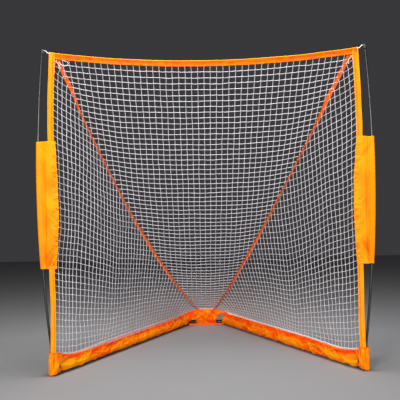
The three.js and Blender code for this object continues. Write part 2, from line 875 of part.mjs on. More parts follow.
// Rear flap: a tongue that hangs from the net and wraps the rear bar, widest at the bar
function rearFlap() {
  const wrapSteps = 16;
  const facet = Math.PI / wrapSteps;
  const wrapPoint = (radius, step) => {
    const angle = Math.PI * 0.5 + facet * (2 * step + 1);
    const reach = radius / Math.cos(facet);
    return corner(rearBarY + reach * Math.cos(angle), railZ + reach * Math.sin(angle));
  };
  const inside = railRadius + seatGap;
  const outside = inside + clothThickness;
  const [first, last] = [3, 14];
  const shape = new THREE.Shape();
  const topY = netRearY + seatGap;
  const topZ = netRearZ;
  shape.moveTo(topY, topZ);
  for (let step = first; step <= last; step += 1) shape.lineTo(...wrapPoint(outside, step).toArray());
  for (let step = last; step >= first - 1; step -= 1) shape.lineTo(...wrapPoint(inside, step).toArray());
  shape.lineTo(topY + clothThickness, topZ);
  const flap = new THREE.ExtrudeGeometry(shape, { depth: 2, bevelEnabled: false });
  const at = flap.attributes.position;
  const waist = railZ + outside;
  for (let i = 0; i < at.count; i += 1) {
    const [y, z, side] = [at.getX(i), at.getY(i), at.getZ(i) - 1];
    const rise = Math.max(0, (z - waist) / (topZ - waist));
    const half = flapBottomHalfWidth + (flapTopHalfWidth - flapBottomHalfWidth) * rise;
    at.setXYZ(i, side * half, y, z);
  }
  return flap;
}

// Flat webbing near the ground between the two skirts' rear ends, in front of the flap
function rearStrap() {
  const half = railX(skirtRearY) - (skirtHalfWidth - skirtWall - skirtFoldDepth) / railDirection.y;
  const y = skirtRearY + clothGap + strapThickness / 2;
  return band([-half, half].map((x) => ({
    at: vector(x, y, strapFootZ + strapHeight / 2),
    half: vector(0, 0, strapHeight / 2),
    thick: vector(0, strapThickness / 2, 0),
  })));
}

// Corner boot: a fabric pouch under and round the corner bracket, open at its top and rear
const bootMiddleX = mouthHalfWidth + hemWidth / 2 - footInset;
const eyeletZ = poleButtonZ + poleInward.z * (socketRadius + bootWidth / 4);

function bootOutline(inset, rearY) {
  const half = bootWidth / 2 - inset;
  const round = bootCorner - inset;
  const front = bootFrontY + inset;
  const shape = new THREE.Shape();
  shape.moveTo(bootMiddleX + half, rearY);
  shape.lineTo(bootMiddleX - half, rearY);
  shape.lineTo(bootMiddleX - half, front + round);
  shape.absarc(bootMiddleX - half + round, front + round, round, Math.PI, Math.PI * 1.5, false);
  shape.lineTo(bootMiddleX + half - round, front);
  shape.absarc(bootMiddleX + half - round, front + round, round, Math.PI * 1.5, Math.PI * 2, false);
  return shape;
}

function boot() {
  const solidPart = (inset, rearY, depth) => new THREE.ExtrudeGeometry(
    bootOutline(inset, rearY), { depth, bevelEnabled: false, curveSegments: 5 },
  );
  const hollow = solidPart(clothThickness, bootRearY + cutOverrun, bootHeight);
  hollow.translate(0, 0, clothThickness);
  const hole = new THREE.CylinderGeometry(eyeletHoleRadius, eyeletHoleRadius, cutOverrun, latheSteps);
  hole.rotateZ(Math.PI / 2);
  hole.translate(bootMiddleX - bootWidth / 2, poleSetback, eyeletZ);
  return cut(solidPart(0, bootRearY, bootHeight), hollow, hole);
}

// Rolled eyelet in the boot's inner wall, through which the pole's lock button is pressed
function bootEyelet() {
  const barrel = eyeletHoleRadius - seatGap;
  const bore = barrel - eyeletWall;
  const back = clothThickness + seatGap + eyeletRimThickness;
  const profile = [
    [bore, -eyeletRimThickness - seatGap], [eyeletRimRadius, -eyeletRimThickness - seatGap],
    [eyeletRimRadius, -seatGap], [barrel, -seatGap], [barrel, back - eyeletRimThickness],
    [eyeletRimRadius, back - eyeletRimThickness], [eyeletRimRadius, back], [bore, back],
    [bore, -eyeletRimThickness - seatGap],
  ].map(([radius, height]) => new THREE.Vector2(radius, height));
  const ring = new THREE.LatheGeometry(profile, latheSteps);
  ring.rotateZ(-Math.PI / 2);
  ring.translate(bootMiddleX - bootWidth / 2, poleSetback, eyeletZ);
  return ring;
}

// Elastic cord from the hem's top corner to the pole's tip
function cornerCord() {
  const gap = seatGap + cornerCordRadius;
  const tipX = poleX(poleTopZ) - poleRadius - poleFit - tipWall - seatGap;
  const start = vector(hemOuterX - hemWidth / 4, hemY - hemThickness / 2 - gap, hemCornerZ - hemWidth / 4);
  const end = vector(tipX, poleSetback, poleTopZ);
  const bend = vector(hemOuterX + gap, start.y, start.z);
  const rest = vector(tipX - tipDome, poleSetback - seatGap, poleTopZ - seatGap);
  const path = new THREE.CatmullRomCurve3([start, bend, rest, end]);
  const steps = 9;
  return tube(
    Array.from({ length: steps + 1 }, (_, i) => ({
      at: path.getPointAt(i / steps), along: path.getTangentAt(i / steps), radius: cornerCordRadius,
    })),
    [], up, 8,
  );
}

// Finishes
const finish = (color, roughness, metalness) => (
  new THREE.MeshStandardMaterial({ color, roughness, metalness })
);
const orangeFabric = finish(0xff8c14, 0.85, 0);
const orangeWebbing = finish(0xf05a12, 0.8, 0);
const netCordFinish = finish(0xdcd8dc, 0.8, 0);
const whiteElastic = finish(0xe8e4e2, 0.75, 0);
const blackSteel = finish(0x141416, 0.35, 0.6);
const blackRod = finish(0x0c0c0e, 0.2, 0);
const brightSteel = finish(0xb4b6ba, 0.3, 1);
const springSteel = finish(0x6c7078, 0.35, 1);
const blackRubber = finish(0x18181a, 0.6, 0);
const eyeletMetal = finish(0x2a2a2c, 0.4, 0.8);

const goal = new THREE.Group();

function add(name, geometry, material) {
  const mesh = new THREE.Mesh(geometry, material);
  mesh.name = name;
  goal.add(mesh);
}

function addPair(name, geometry, material) {
  add(`${name}_right`, geometry, material);
  add(`${name}_left`, mirrored(geometry), material);
}

// Base
add('rear_elbow_tube', rearElbow(), blackSteel);
addPair('rail_rear', rearRail(), blackSteel);
addPair('rail_front', frontRail(), blackSteel);
addPair('corner_bracket', cornerBracket(), blackSteel);

// Poles
addPair('pole_foot', poleFoot(), brightSteel);
addPair('pole_lower', poleRod(rodSeatZ, poleLowerJointZ - seatGap / 2), blackRod);
addPair('pole_middle', poleRod(poleLowerJointZ + seatGap / 2, poleUpperJointZ - seatGap / 2), blackRod);
addPair('pole_upper', poleRod(poleUpperJointZ + seatGap / 2, poleTopZ), blackRod);
addPair('ferrule_lower', ferrule(poleLowerJointZ), brightSteel);
addPair('ferrule_upper', ferrule(poleUpperJointZ), brightSteel);
addPair('pole_tip', poleTip(), blackRubber);

// Lock buttons and their springs
const locks = {
  ...Object.fromEntries(Object.entries(jointPlaces).map(([name, at]) => [name, railLock(at)])),
  pole: poleLock(),
};
for (const [name, lock] of Object.entries(locks)) {
  addPair(`lock_button_${name}`, lock.button, brightSteel);
  addPair(`button_spring_${name}`, lock.spring, springSteel);
}

// Fabric and net
add('hem_top', topHem(), orangeFabric);
addPair('hem', sideHem(), orangeFabric);
addPair('side_pocket', sidePocket(), orangeFabric);
add('net_back', backNet(), netCordFinish);
addPair('net_side', sideNet(), netCordFinish);
addPair('seam_tape', seamTape(), orangeWebbing);
addPair('skirt', join(skirt(), rearGusset()), orangeFabric);
addPair('border_cord', borderCord(), netCordFinish);
add('rear_flap', rearFlap(), orangeFabric);
add('rear_strap', rearStrap(), orangeWebbing);
addPair('boot', boot(), orangeFabric);
addPair('boot_eyelet', bootEyelet(), eyeletMetal);
addPair('corner_cord', cornerCord(), whiteElastic);

// Origin on the ground, under the middle of the goal's length
const rearmostY = rearBarY + railRadius + seatGap + clothThickness;
goal.position.y = -(bootFrontY + rearmostY) / 2;

console.log(`lock buttons travel ${buttonPressed.toFixed(1)} and ${poleButtonPressed.toFixed(1)} mm`);

export default goal;
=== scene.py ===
"""Dresses the portable goal: real mesh net, sewn hems, pockets, skirts and boots, bowed poles."""
import math

import bmesh
import bpy
from mathutils import Matrix, Vector, noise


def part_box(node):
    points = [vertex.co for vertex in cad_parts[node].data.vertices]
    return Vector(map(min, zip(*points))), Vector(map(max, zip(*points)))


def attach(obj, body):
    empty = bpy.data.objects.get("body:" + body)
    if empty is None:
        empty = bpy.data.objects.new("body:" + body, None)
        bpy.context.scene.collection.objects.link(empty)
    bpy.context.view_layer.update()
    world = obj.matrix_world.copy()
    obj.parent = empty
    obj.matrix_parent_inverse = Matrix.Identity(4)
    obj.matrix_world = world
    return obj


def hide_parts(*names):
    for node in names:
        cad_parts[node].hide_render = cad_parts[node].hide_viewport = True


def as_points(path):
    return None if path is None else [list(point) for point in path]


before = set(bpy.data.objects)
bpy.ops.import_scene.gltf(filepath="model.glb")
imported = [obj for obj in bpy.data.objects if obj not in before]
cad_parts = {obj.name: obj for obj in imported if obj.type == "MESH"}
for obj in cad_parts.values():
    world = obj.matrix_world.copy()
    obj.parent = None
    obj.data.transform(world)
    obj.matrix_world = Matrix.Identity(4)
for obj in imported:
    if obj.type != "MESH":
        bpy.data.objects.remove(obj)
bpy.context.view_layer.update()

bl_info = {
    "name": "Portable Lacrosse Goal",
    "version": (1, 0, 0),
    "blender": (4, 5, 0),
    "location": "View3D > Sidebar > Goal",
    "description": "Builds the cloth, net, cords and finishes of a portable lacrosse goal",
    "category": "Object",
}

BODY = "goal_frame"
SIDES = {"right": 1, "left": -1}


def middle(node, axis):
    """Middle of a CAD node's box along one axis."""
    low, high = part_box(node)
    return (low[axis] + high[axis]) / 2


# Places that the frame gives, and the hems' own sizes in metres
MOUTH_Y = middle("hem_top", 1)
HEM_OUTER_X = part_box("hem_right")[1][0]
HEM_FRONT_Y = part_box("hem_right")[0][1]
HEM_FOOT_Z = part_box("hem_right")[0][2]
TOP_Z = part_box("hem_top")[1][2]
HEM_WIDTH = 0.040
TOP_FACE = 0.0375
FOOT_INSET = 0.014
HEM_SAG = TOP_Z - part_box("hem_top")[0][2] - HEM_WIDTH
RAIL_Z = middle("rail_front_right", 2)
RAIL_RADIUS = RAIL_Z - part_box("rail_front_right")[0][2]
REAR_BAR_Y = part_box("rear_elbow_tube")[1][1] - RAIL_RADIUS
SKIRT_FRONT_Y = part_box("skirt_right")[0][1]
SKIRT_REAR_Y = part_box("skirt_right")[1][1]
BOOT_TOP_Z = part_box("boot_right")[1][2]
POCKET_LOW, POCKET_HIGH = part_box("side_pocket_right")

# Real sizes that the surfaces follow, in metres, and shares of them
RAIL_FRONT_X = 0.941
REAR_CORNER_X = 0.168
ELBOW_BEND_RADIUS = 0.080
ELBOW_LEG = 0.150
NET_LAP = 0.008
NET_SETBACK = 0.0048
NET_TOP_HALF = 0.915
NET_REAR_HALF = 0.062
NET_REAR_Z = 0.150
NET_DEPTH = 1.745
NET_CURVE_SHARES = ((0.241, 0.289), (0.544, 0.751))
SKIRT_HEIGHT = 0.112
SKIRT_DIP = 0.009
SKIRT_FRONT_RISE = 0.033
SKIRT_RISE_RUN = 0.220
NET_FOOT_X = 0.9105
NET_FOOT_RISE = 0.0028
SIDE_SAG_SHARE = 0.13
SIDE_SAG_RUN = 0.800
# How far each side net falls between its edges, by the share of the way to the rear
SIDE_FALL = {
    1: ((0.0, 0.0), (0.17, 0.0), (0.43, 0.080), (0.60, 0.042), (1.0, 0.0)),
    -1: ((0.0, 0.0), (0.15, 0.0), (0.38, 0.050), (0.60, 0.032), (1.0, 0.0)),
}
FALL_RUN = 0.130
# How far the lower ends of each side net's columns crowd towards the hem, as a share
SIDE_CROWD = {1: 0.008, -1: 0.026}
POLE_FOOT_X = 0.926
POLE_SPREAD = 0.082
POLE_BOW = 0.228
POLE_TOP_Z = 1.996
POLE_SETBACK = 0.014
POLE_RADIUS = 0.0075
POLE_JOINTS = (0.730, 1.350)
FERRULE_HALF = 0.050
FERRULE_WALL = 0.0017
WEBBING_WALL = 0.0016
POCKET_WALL = 0.0016
BOOT_WALL = 0.0018
THREAD = 0.0011
# How far the net's knots and the cords between them stray from true
KNOT_LILT = 0.0035
KNOT_TREMOR = 0.0022
CORD_SLACK = 0.0022

# How far the net and its own slack draw each side hem out of line, by height
HEM_DRIFT = {
    1: ((0.08, -0.006), (0.30, -0.011), (0.60, -0.008), (0.95, -0.005), (1.20, 0.001),
        (1.50, 0.011), (1.65, 0.008), (1.98, 0.0)),
    -1: ((0.08, 0.0), (0.38, -0.002), (0.68, 0.006), (0.93, -0.005), (1.18, 0.001),
         (1.50, 0.011), (1.65, 0.010), (1.98, 0.0)),
}
POCKET_DRIFT = {
    1: ((0.64, -0.004), (0.80, -0.009), (0.95, -0.011), (1.15, -0.006), (1.30, 0.008),
        (1.42, 0.021)),
    -1: ((0.64, 0.002), (0.80, -0.006), (0.95, -0.011), (1.15, -0.004), (1.30, 0.005),
         (1.42, 0.011)),
}


def size_entry(label, says, default):
    return bpy.props.FloatProperty(name=label, description=says, default=default, unit="LENGTH")


def colour_entry(label, says, default):
    return bpy.props.FloatVectorProperty(
        name=label, description=says, subtype="COLOR", size=3, min=0, max=1, default=default)


class GoalSizes(bpy.types.PropertyGroup):
    """Sizes of the net, cords and cloth."""

    mesh_pitch: size_entry("Mesh pitch", "Side of one square of the net", 0.040)
    net_cord: size_entry("Net cord", "Diameter of the net's cord", 0.0039)
    knot: size_entry("Knot", "Width of a knot of the net", 0.0074)
    seam_sway: size_entry("Seam sway", "Sideways bow of the seams towards the left", 0.030)
    tape_width: size_entry("Tape width", "Width of the seam tapes", 0.030)
    cloth: size_entry("Cloth", "Thickness of the woven cloth", 0.0011)
    crumple: size_entry("Crumple", "Depth of the skirts' crumples", 0.0085)
    elastic: size_entry("Elastic", "Diameter of the corner cords", 0.0050)
    floor: size_entry("Floor", "Width of the studio floor", 30.0)


class GoalColours(bpy.types.PropertyGroup):
    """Colours of the cloth, cords, poles and studio."""

    # Painted light and shade: the cloth is painted from the deep colour in its folds to the bright
    # colour on crests and lit faces.
    cloth_painted_light: colour_entry(
        "Cloth, bright", "Cloth on crests and lit faces", (1.0, 0.36, 0.003))
    cloth_painted_shade: colour_entry("Cloth, deep", "Cloth in its folds", (0.95, 0.066, 0.0002))
    webbing: colour_entry("Webbing", "Seam tapes and rear strap", (0.92, 0.100, 0.004))
    net: colour_entry("Net", "Cord of the net", (0.50, 0.475, 0.51))
    # Painted reflection of the orange cloth on the net's cord, low down beside it.
    painted_cloth_bounce: colour_entry(
        "Blush", "Tint of the net's cord low down, beside the cloth", (0.60, 0.33, 0.27))
    pole: colour_entry("Pole", "Resin rods of the poles", (0.008, 0.008, 0.010))
    floor: colour_entry("Floor", "Studio floor", (0.32, 0.32, 0.33))
    backdrop: colour_entry("Backdrop", "Studio wall", (0.040, 0.040, 0.043))


def sizes():
    return bpy.context.scene.goal_sizes


def colours():
    return bpy.context.scene.goal_colours


def blend(a, b, share):
    return a + (b - a) * share


def smooth(low, high, value):
    """0 below low, 1 above high, and a smooth step between."""
    share = min(max((value - low) / (high - low), 0.0), 1.0)
    return share * share * (3 - 2 * share)


def wobble(*at):
    """Smooth noise at a place given by three numbers, about -1 to 1."""
    return noise.noise(Vector(at))


def drift(table, z):
    """Value at a height from a table of (height, value), with soft steps."""
    for (low, before), (high, after) in zip(table, table[1:]):
        if z <= high:
            return blend(before, after, smooth(low, high, z))
    return table[-1][1]


def straight(table, at):
    """Value from a table of (place, value), with straight lines between."""
    for (low, before), (high, after) in zip(table, table[1:]):
        if at <= high:
            return blend(before, after, (at - low) / (high - low))
    return table[-1][1]


# Surfaces of the frame


def hem_edge(x):
    """Height of the top hem's upper edge."""
    return TOP_Z - HEM_SAG * (1 - (x / HEM_OUTER_X) ** 2)


def net_curve():
    """The back net's middle line as (length so far, y, z), from the hem to the rear."""
    top = TOP_Z - HEM_SAG - HEM_WIDTH + NET_LAP
    drop = top - NET_REAR_Z
    (a, b), (c, d) = NET_CURVE_SHARES
    points = [
        Vector((MOUTH_Y + NET_SETBACK, top)),
        Vector((MOUTH_Y + NET_DEPTH * a, top - drop * b)),
        Vector((MOUTH_Y + NET_DEPTH * c, top - drop * d)),
        Vector((MOUTH_Y + NET_DEPTH, NET_REAR_Z)),
    ]
    steps = 400
    line = []
    length = 0.0
    for i in range(steps + 1):
        t = i / steps
        weights = ((1 - t) ** 3, 3 * (1 - t) ** 2 * t, 3 * (1 - t) * t * t, t ** 3)
        here = sum((p * w for p, w in zip(points, weights)), Vector((0.0, 0.0)))
        if line:
            length += math.hypot(here.x - line[-1][1], here.y - line[-1][2])
        line.append((length, here.x, here.y))
    return line


NET_CURVE = net_curve()
NET_LENGTH = NET_CURVE[-1][0]


def back_point(x, share):
    """Point of the back net at a distance x from its middle, share of the way down."""
    target = min(max(share, 0.0), 1.0) * NET_LENGTH
    low, high = 0, len(NET_CURVE) - 1
    while high - low > 1:
        half = (low + high) // 2
        if NET_CURVE[half][0] <= target:
            low = half
        else:
            high = half
    (l0, y0, z0), (l1, y1, z1) = NET_CURVE[low], NET_CURVE[high]
    part = (target - l0) / (l1 - l0)
    lift = (hem_edge(x) - hem_edge(0)) * (1 - share)
    return Vector((x, blend(y0, y1, part), blend(z0, z1, part) + lift))


def half_width(share):
    return blend(NET_TOP_HALF, NET_REAR_HALF, share)


def sway(share, weight=1.0):
    return Vector((-sizes().seam_sway * math.sin(math.pi * share) * weight, 0, 0))


def seam_point(share, side):
    return back_point(side * half_width(share), share) + sway(share)


def rail_x(y):
    return blend(RAIL_FRONT_X, REAR_CORNER_X, (y - MOUTH_Y) / (REAR_BAR_Y - MOUTH_Y))


def skirt_top(y):
    back = y - MOUTH_Y
    share = min(back / SKIRT_RISE_RUN, 1.0)
    dip = SKIRT_DIP * smooth(0.60, 0.15, back)
    return SKIRT_HEIGHT - dip + SKIRT_FRONT_RISE * (1 - share) ** 2


def net_foot(share, side):
    """Point where a side net meets the skirt, share of the way to the rear."""
    y = MOUTH_Y + NET_DEPTH * share
    x = blend(NET_FOOT_X, rail_x(MOUTH_Y + NET_DEPTH), share)
    return Vector((side * x, y, skirt_top(y) + NET_FOOT_RISE))


SIDE_LENGTH = (net_foot(0, 1) - net_foot(1, 1)).length
FRONT_HEIGHT = (back_point(NET_TOP_HALF, 0) - net_foot(0, 1)).length
REAR_HEIGHT = (back_point(NET_REAR_HALF, 1) - net_foot(1, 1)).length


def side_height(share):
    return blend(FRONT_HEIGHT, REAR_HEIGHT, share)


def side_point(share, rise, side):
    """Point of a side net: share of the way to the rear, rise of the way up to the seam."""
    back = share * SIDE_LENGTH
    height = side_height(share)
    slack = SIDE_SAG_SHARE * min(1.0, back / SIDE_SAG_RUN)
    fall = straight(SIDE_FALL[side], min(share + 0.08 * (1 - rise), 1.0))
    fall *= min(1.0, (1 - rise) / 0.45) * smooth(1.0, 0.85, share)
    fall *= 1 - math.exp(-max(rise, 0.0) * height / FALL_RUN)
    droop = rise - slack * rise * (1 - rise) - fall / height
    lilt = 0.012 * math.sin(19.0 * share + 1.3 * side) * smooth(0.16, 0.02, rise)
    lilt *= smooth(0.03, 0.15, share) * smooth(1.0, 0.85, share)
    foot = net_foot(min(share + lilt, 1.0), side)
    at = foot.lerp(seam_point(share, side), droop)
    belly = math.sin(math.pi * min(rise, 1.0)) ** 2 * front_belly(share, side)
    start = net_foot(0.0, side).lerp(seam_point(0.0, side), droop).x
    held = side * (hem_inner(at.z, side) + 0.004) - start
    at.x += held * smooth(0.30, 0.0, back) - side * belly
    return at


def front_belly(share, side):
    """The left net hangs a little into the mouth just behind its hem."""
    if side > 0:
        return 0.0
    back = share * SIDE_LENGTH
    swell = 0.5 * smooth(0.0, 0.12, back) + 0.5 * smooth(0.0, 0.45, back)
    return 0.022 * swell * (1 - smooth(0.45, 1.30, back))


def pole_x(z):
    share = z / POLE_TOP_Z
    return POLE_FOOT_X + POLE_SPREAD * share + POLE_BOW * share * (1 - share)


def pole_point(z, side):
    return Vector((side * pole_x(z), MOUTH_Y + POLE_SETBACK, z))


# Making of meshes


def finished(name, bm, material):
    """The bmesh as an object at the origin that rides on the goal."""
    mesh = bpy.data.meshes.new(name)
    bm.to_mesh(mesh)
    bm.free()
    mesh.polygons.foreach_set("use_smooth", [True] * len(mesh.polygons))
    mesh.materials.append(material)
    piece = bpy.data.objects.new(name, mesh)
    bpy.context.scene.collection.objects.link(piece)
    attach(piece, BODY)
    return piece


def cloth_grid(flat, segments, place, closed=False):
    """A grid of the flat size laid out by place(u, v), which gives a point and the painted light and
    shade there, kept in the fold attribute.
    """
    bm = bmesh.new()
    uv = bm.loops.layers.uv.new("cloth")
    bmesh.ops.create_grid(
        bm, x_segments=segments[0], y_segments=segments[1], size=0.5, calc_uvs=True)
    fold = bm.verts.layers.float.new("fold")
    for face in bm.faces:
        for loop in face.loops:
            u, v = loop.vert.co.x + 0.5, loop.vert.co.y + 0.5
            loop[uv].uv = (u * flat[0], v * flat[1])
    for vert in bm.verts:
        vert.co, vert[fold] = place(vert.co.x + 0.5, vert.co.y + 0.5)
    if closed:
        bmesh.ops.remove_doubles(bm, verts=bm.verts, dist=1e-5)
        bmesh.ops.recalc_face_normals(bm, faces=bm.faces)
    return bm


def thicken(piece, thickness):
    wall = piece.modifiers.new("Wall", "SOLIDIFY")
    wall.thickness = thickness
    wall.offset = 0.0


def strands(bm, lines, diameter, widths=()):
    """Adds a round cord along each list of points, with its widths along a line as shares."""
    curve = bpy.data.curves.new("strands", "CURVE")
    curve.dimensions = "3D"
    curve.bevel_depth = diameter / 2
    curve.bevel_resolution = 1
    curve.use_fill_caps = True
    for line in lines:
        spline = curve.splines.new("POLY")
        spline.points.add(len(line) - 1)
        spline.points.foreach_set("co", [c for p in line for c in (*p, 1.0)])
        if widths:
            spline.points.foreach_set("radius", widths)
    holder = bpy.data.objects.new("strands", curve)
    bpy.context.scene.collection.objects.link(holder)
    bpy.context.view_layer.update()
    mesh = bpy.data.meshes.new_from_object(
        holder.evaluated_get(bpy.context.evaluated_depsgraph_get()))
    bm.from_mesh(mesh)
    bpy.data.objects.remove(holder)
    bpy.data.curves.remove(curve)
    bpy.data.meshes.remove(mesh)


def round_rod(bm, stations, segments=24):
    """A capped rod through stations of (point, radius)."""
    along = (stations[1][0] - stations[0][0]).normalized()
    turn = along.to_track_quat("Z", "Y").to_matrix().to_4x4()
    bmesh.ops.create_circle(
        bm, cap_ends=True, segments=segments, radius=stations[0][1],
        matrix=Matrix.Translation(stations[0][0]) @ turn)
    ring = [e for e in bm.edges if e.is_boundary]
    for i in range(1, len(stations)):
        before, here = stations[i - 1], stations[i]
        after = stations[min(i + 1, len(stations) - 1)]
        aim = (after[0] - before[0]).normalized()
        made = bmesh.ops.extrude_edge_only(bm, edges=ring)["geom"]
        verts = [v for v in made if isinstance(v, bmesh.types.BMVert)]
        ring = [e for e in made if isinstance(e, bmesh.types.BMEdge) and e.is_boundary]
        swing = along.rotation_difference(aim).to_matrix()
        for v in verts:
            v.co = here[0] + swing @ (v.co - before[0]) * (here[1] / before[1])
        along = aim
    bmesh.ops.edgeloop_fill(bm, edges=ring)
    bmesh.ops.recalc_face_normals(bm, faces=bm.faces)


def line_length(points):
    return sum((b - a).length for a, b in zip(points, points[1:]))


def path_share(points, share):
    """Point at a share of the length of a line of points."""
    lengths = [(b - a).length for a, b in zip(points, points[1:])]
    left = share * sum(lengths)
    for a, b, length in zip(points, points[1:], lengths):
        if left <= length:
            return a.lerp(b, left / length)
        left -= length
    return points[-1].copy()


def stitch_dashes(line):
    """Short stitches along a line of points."""
    stitch, gap = 0.0042, 0.0022
    total = line_length(line)
    count = int(total / (stitch + gap))
    return [
        [path_share(line, (i * (stitch + gap) + part) / total) for part in (0, stitch / 2, stitch)]
        for i in range(count)
    ]


# Ridges of crumpled cloth: direction, length, width and depth
CREASES = (
    (0.75, 0.16, 0.052, 0.50), (-0.85, 0.14, 0.046, 0.45), (1.45, 0.12, 0.034, 0.28),
    (0.25, 0.08, 0.022, 0.16),
)
LONG_CREASES = (
    (0.34, 0.24, 0.044, 0.46), (-0.42, 0.20, 0.038, 0.38), (0.95, 0.11, 0.030, 0.34),
    (1.35, 0.09, 0.021, 0.26), (-0.12, 0.12, 0.018, 0.22),
)


def crumple(a, b, seed, creases=CREASES):
    """Height of crumpled cloth, about -1 to 1, at a along and b across it, in metres."""
    height = 0.45 * wobble(a / 0.11, b / 0.10, seed)
    for i, (angle, long, wide, depth) in enumerate(creases):
        along = a * math.cos(angle) + b * math.sin(angle)
        across = b * math.cos(angle) - a * math.sin(angle)
        ridge = 1 - 4.2 * abs(wobble(along / long, across / wide, seed + 17 * i))
        patch = smooth(-0.30, 0.25, wobble(a / 0.10, b / 0.10, seed + 40 + i))
        height += depth * max(ridge, -0.9) * patch
    return height


# Finishes


def feed(tree, socket, value):
    """Links a node's output to the socket, or sets the socket to a plain value."""
    if isinstance(value, bpy.types.NodeSocket):
        tree.links.new(value, socket)
    else:
        socket.default_value = value


class Finish:
    """A material and its surface shader, with short ways to add nodes and links."""

    def __init__(self, name):
        self.material = bpy.data.materials.new(name)
        self.material.use_nodes = True
        self.tree = self.material.node_tree
        self.surface = self.tree.nodes["Principled BSDF"]
        self.place = self.node("ShaderNodeTexCoord").outputs

    def constants(self, **values):
        for name, value in values.items():
            self.surface.inputs[name.replace("_", " ")].default_value = value
        return self

    def node(self, kind, links=(), **values):
        made = self.tree.nodes.new(kind)
        for name, value in values.items():
            setattr(made, name, value)
        for socket, source in links:
            feed(self.tree, made.inputs[socket], source)
        return made

    def to_surface(self, name, source):
        self.tree.links.new(source, self.surface.inputs[name])

    def mottle(self, scale, vector=None):
        made = self.group(
            group("mottle", mottle_group), Vector=vector or self.place["Object"], Scale=scale)
        return made.outputs["Mask"]

    def braid(self, scale):
        made = self.group(
            group("braid", braid_group), Vector=self.place["Object"], Scale=scale)
        return made.outputs["Height"]

    def weave(self, pitch):
        made = self.group(group("weave", weave_group), Vector=self.place["UV"], Pitch=pitch)
        return made.outputs["Height"]

    def math(self, operation, *values):
        return math_node(self.tree, operation, *values)

    def group(self, tree, **inputs):
        made = self.tree.nodes.new("ShaderNodeGroup")
        made.node_tree = tree
        for name, value in inputs.items():
            feed(self.tree, made.inputs[name], value)
        return made

    def bump(self, height, strength, distance):
        made = self.node(
            "ShaderNodeBump", [("Strength", strength), ("Distance", distance), ("Height", height)])
        self.to_surface("Normal", made.outputs["Normal"])

    def mix(self, share, a, b):
        made = self.node("ShaderNodeMix", data_type="RGBA")
        for socket, value in zip((0, 6, 7), (share, a, b)):
            feed(self.tree, made.inputs[socket], value)
        return made.outputs[2]

    def ramp(self, value, low, high, to_low=0.0, to_high=1.0):
        made = self.node("ShaderNodeMapRange", [
            ("Value", value), ("From Min", low), ("From Max", high),
            ("To Min", to_low), ("To Max", to_high)])
        return made.outputs["Result"]


def group_tree(name, inputs, outputs):
    """An empty shader node group with its sockets, its input node and its output node."""
    tree = bpy.data.node_groups.new(name, "ShaderNodeTree")
    for label, kind, value in inputs:
        socket = tree.interface.new_socket(label, in_out="INPUT", socket_type=kind)
        if value is not None:
            socket.default_value = value
    for label, kind in outputs:
        tree.interface.new_socket(label, in_out="OUTPUT", socket_type=kind)
    return tree, tree.nodes.new("NodeGroupInput"), tree.nodes.new("NodeGroupOutput")


def math_node(tree, operation, *values):
    made = tree.nodes.new("ShaderNodeMath")
    made.operation = operation
    for socket, value in zip(made.inputs, values):
        feed(tree, socket, value)
    return made.outputs[0]


def weave_group():
    """Crossing yarns: a plain weave's height over a cloth's own metres."""
    tree, given, out = group_tree(
        "Weave", [("Vector", "NodeSocketVector", None), ("Pitch", "NodeSocketFloat", 0.0012)],
        [("Height", "NodeSocketFloat")])
    split = tree.nodes.new("ShaderNodeSeparateXYZ")
    tree.links.new(given.outputs["Vector"], split.inputs[0])
    turns = math_node(tree, "DIVIDE", 2 * math.pi, given.outputs["Pitch"])
    waves = [
        math_node(tree, "SINE", math_node(tree, "MULTIPLY", split.outputs[axis], turns))
        for axis in ("X", "Y")
    ]
    product = math_node(tree, "MULTIPLY", *waves)
    height = math_node(tree, "MULTIPLY_ADD", product, 0.5, 0.5)
    tree.links.new(height, out.inputs["Height"])
    return tree


def mottle_group():
    """Uneven tone: broad and fine noise over the piece, from 0 to 1."""
    tree, given, out = group_tree(
        "Mottle", [("Vector", "NodeSocketVector", None), ("Scale", "NodeSocketFloat", 12.0)],
        [("Mask", "NodeSocketFloat")])
    cloud = tree.nodes.new("ShaderNodeTexNoise")
    cloud.inputs["Detail"].default_value = 5.0
    cloud.inputs["Roughness"].default_value = 0.6
    tree.links.new(given.outputs["Vector"], cloud.inputs["Vector"])
    tree.links.new(given.outputs["Scale"], cloud.inputs["Scale"])
    tree.links.new(cloud.outputs["Fac"], out.inputs["Mask"])
    return tree


def braid_group():
    """Crossing strands of a braided cord, as a height over the piece."""
    tree, given, out = group_tree(
        "Braid", [("Vector", "NodeSocketVector", None), ("Scale", "NodeSocketFloat", 900.0)],
        [("Height", "NodeSocketFloat")])
    cells = tree.nodes.new("ShaderNodeTexVoronoi")
    tree.links.new(given.outputs["Vector"], cells.inputs["Vector"])
    tree.links.new(given.outputs["Scale"], cells.inputs["Scale"])
    tree.links.new(cells.outputs["Distance"], out.inputs["Height"])
    return tree


GROUPS = {}
FINISHES = {}


def group(name, make):
    if name not in GROUPS:
        GROUPS[name] = make()
    return GROUPS[name]


def finish(name):
    if name not in FINISHES:
        FINISHES[name] = MAKERS[name]()
    return FINISHES[name]


def colour(name):
    return (*getattr(colours(), name), 1.0)


def cloth_finish():
    """Woven polyester with a slight sheen, painted from a shade colour to a lit colour by the painted
    light and shade in each piece's fold attribute.
    """
    f = Finish("orange_cloth").constants(
        Sheen_Weight=0.04, Sheen_Roughness=0.4, Sheen_Tint=(1.0, 0.50, 0.1, 1.0),
        Specular_IOR_Level=0.05)
    fold = f.node("ShaderNodeAttribute", attribute_name="fold").outputs["Fac"]
    tone = f.mottle(9.0)
    # The fold attribute holds each piece's painted light and shade; the mottle adds a random tone.
    share = f.math("MULTIPLY_ADD", tone, 0.34, f.math("SUBTRACT", fold, 0.17))
    share = f.ramp(share, 0.12, 0.88)
    f.to_surface("Base Color", f.mix(share, colour("cloth_painted_shade"), colour("cloth_painted_light")))
    f.to_surface("Roughness", f.ramp(tone, 0.3, 0.7, 0.44, 0.62))
    f.bump(f.weave(0.0016), 0.35, 0.0002)
    return f.material


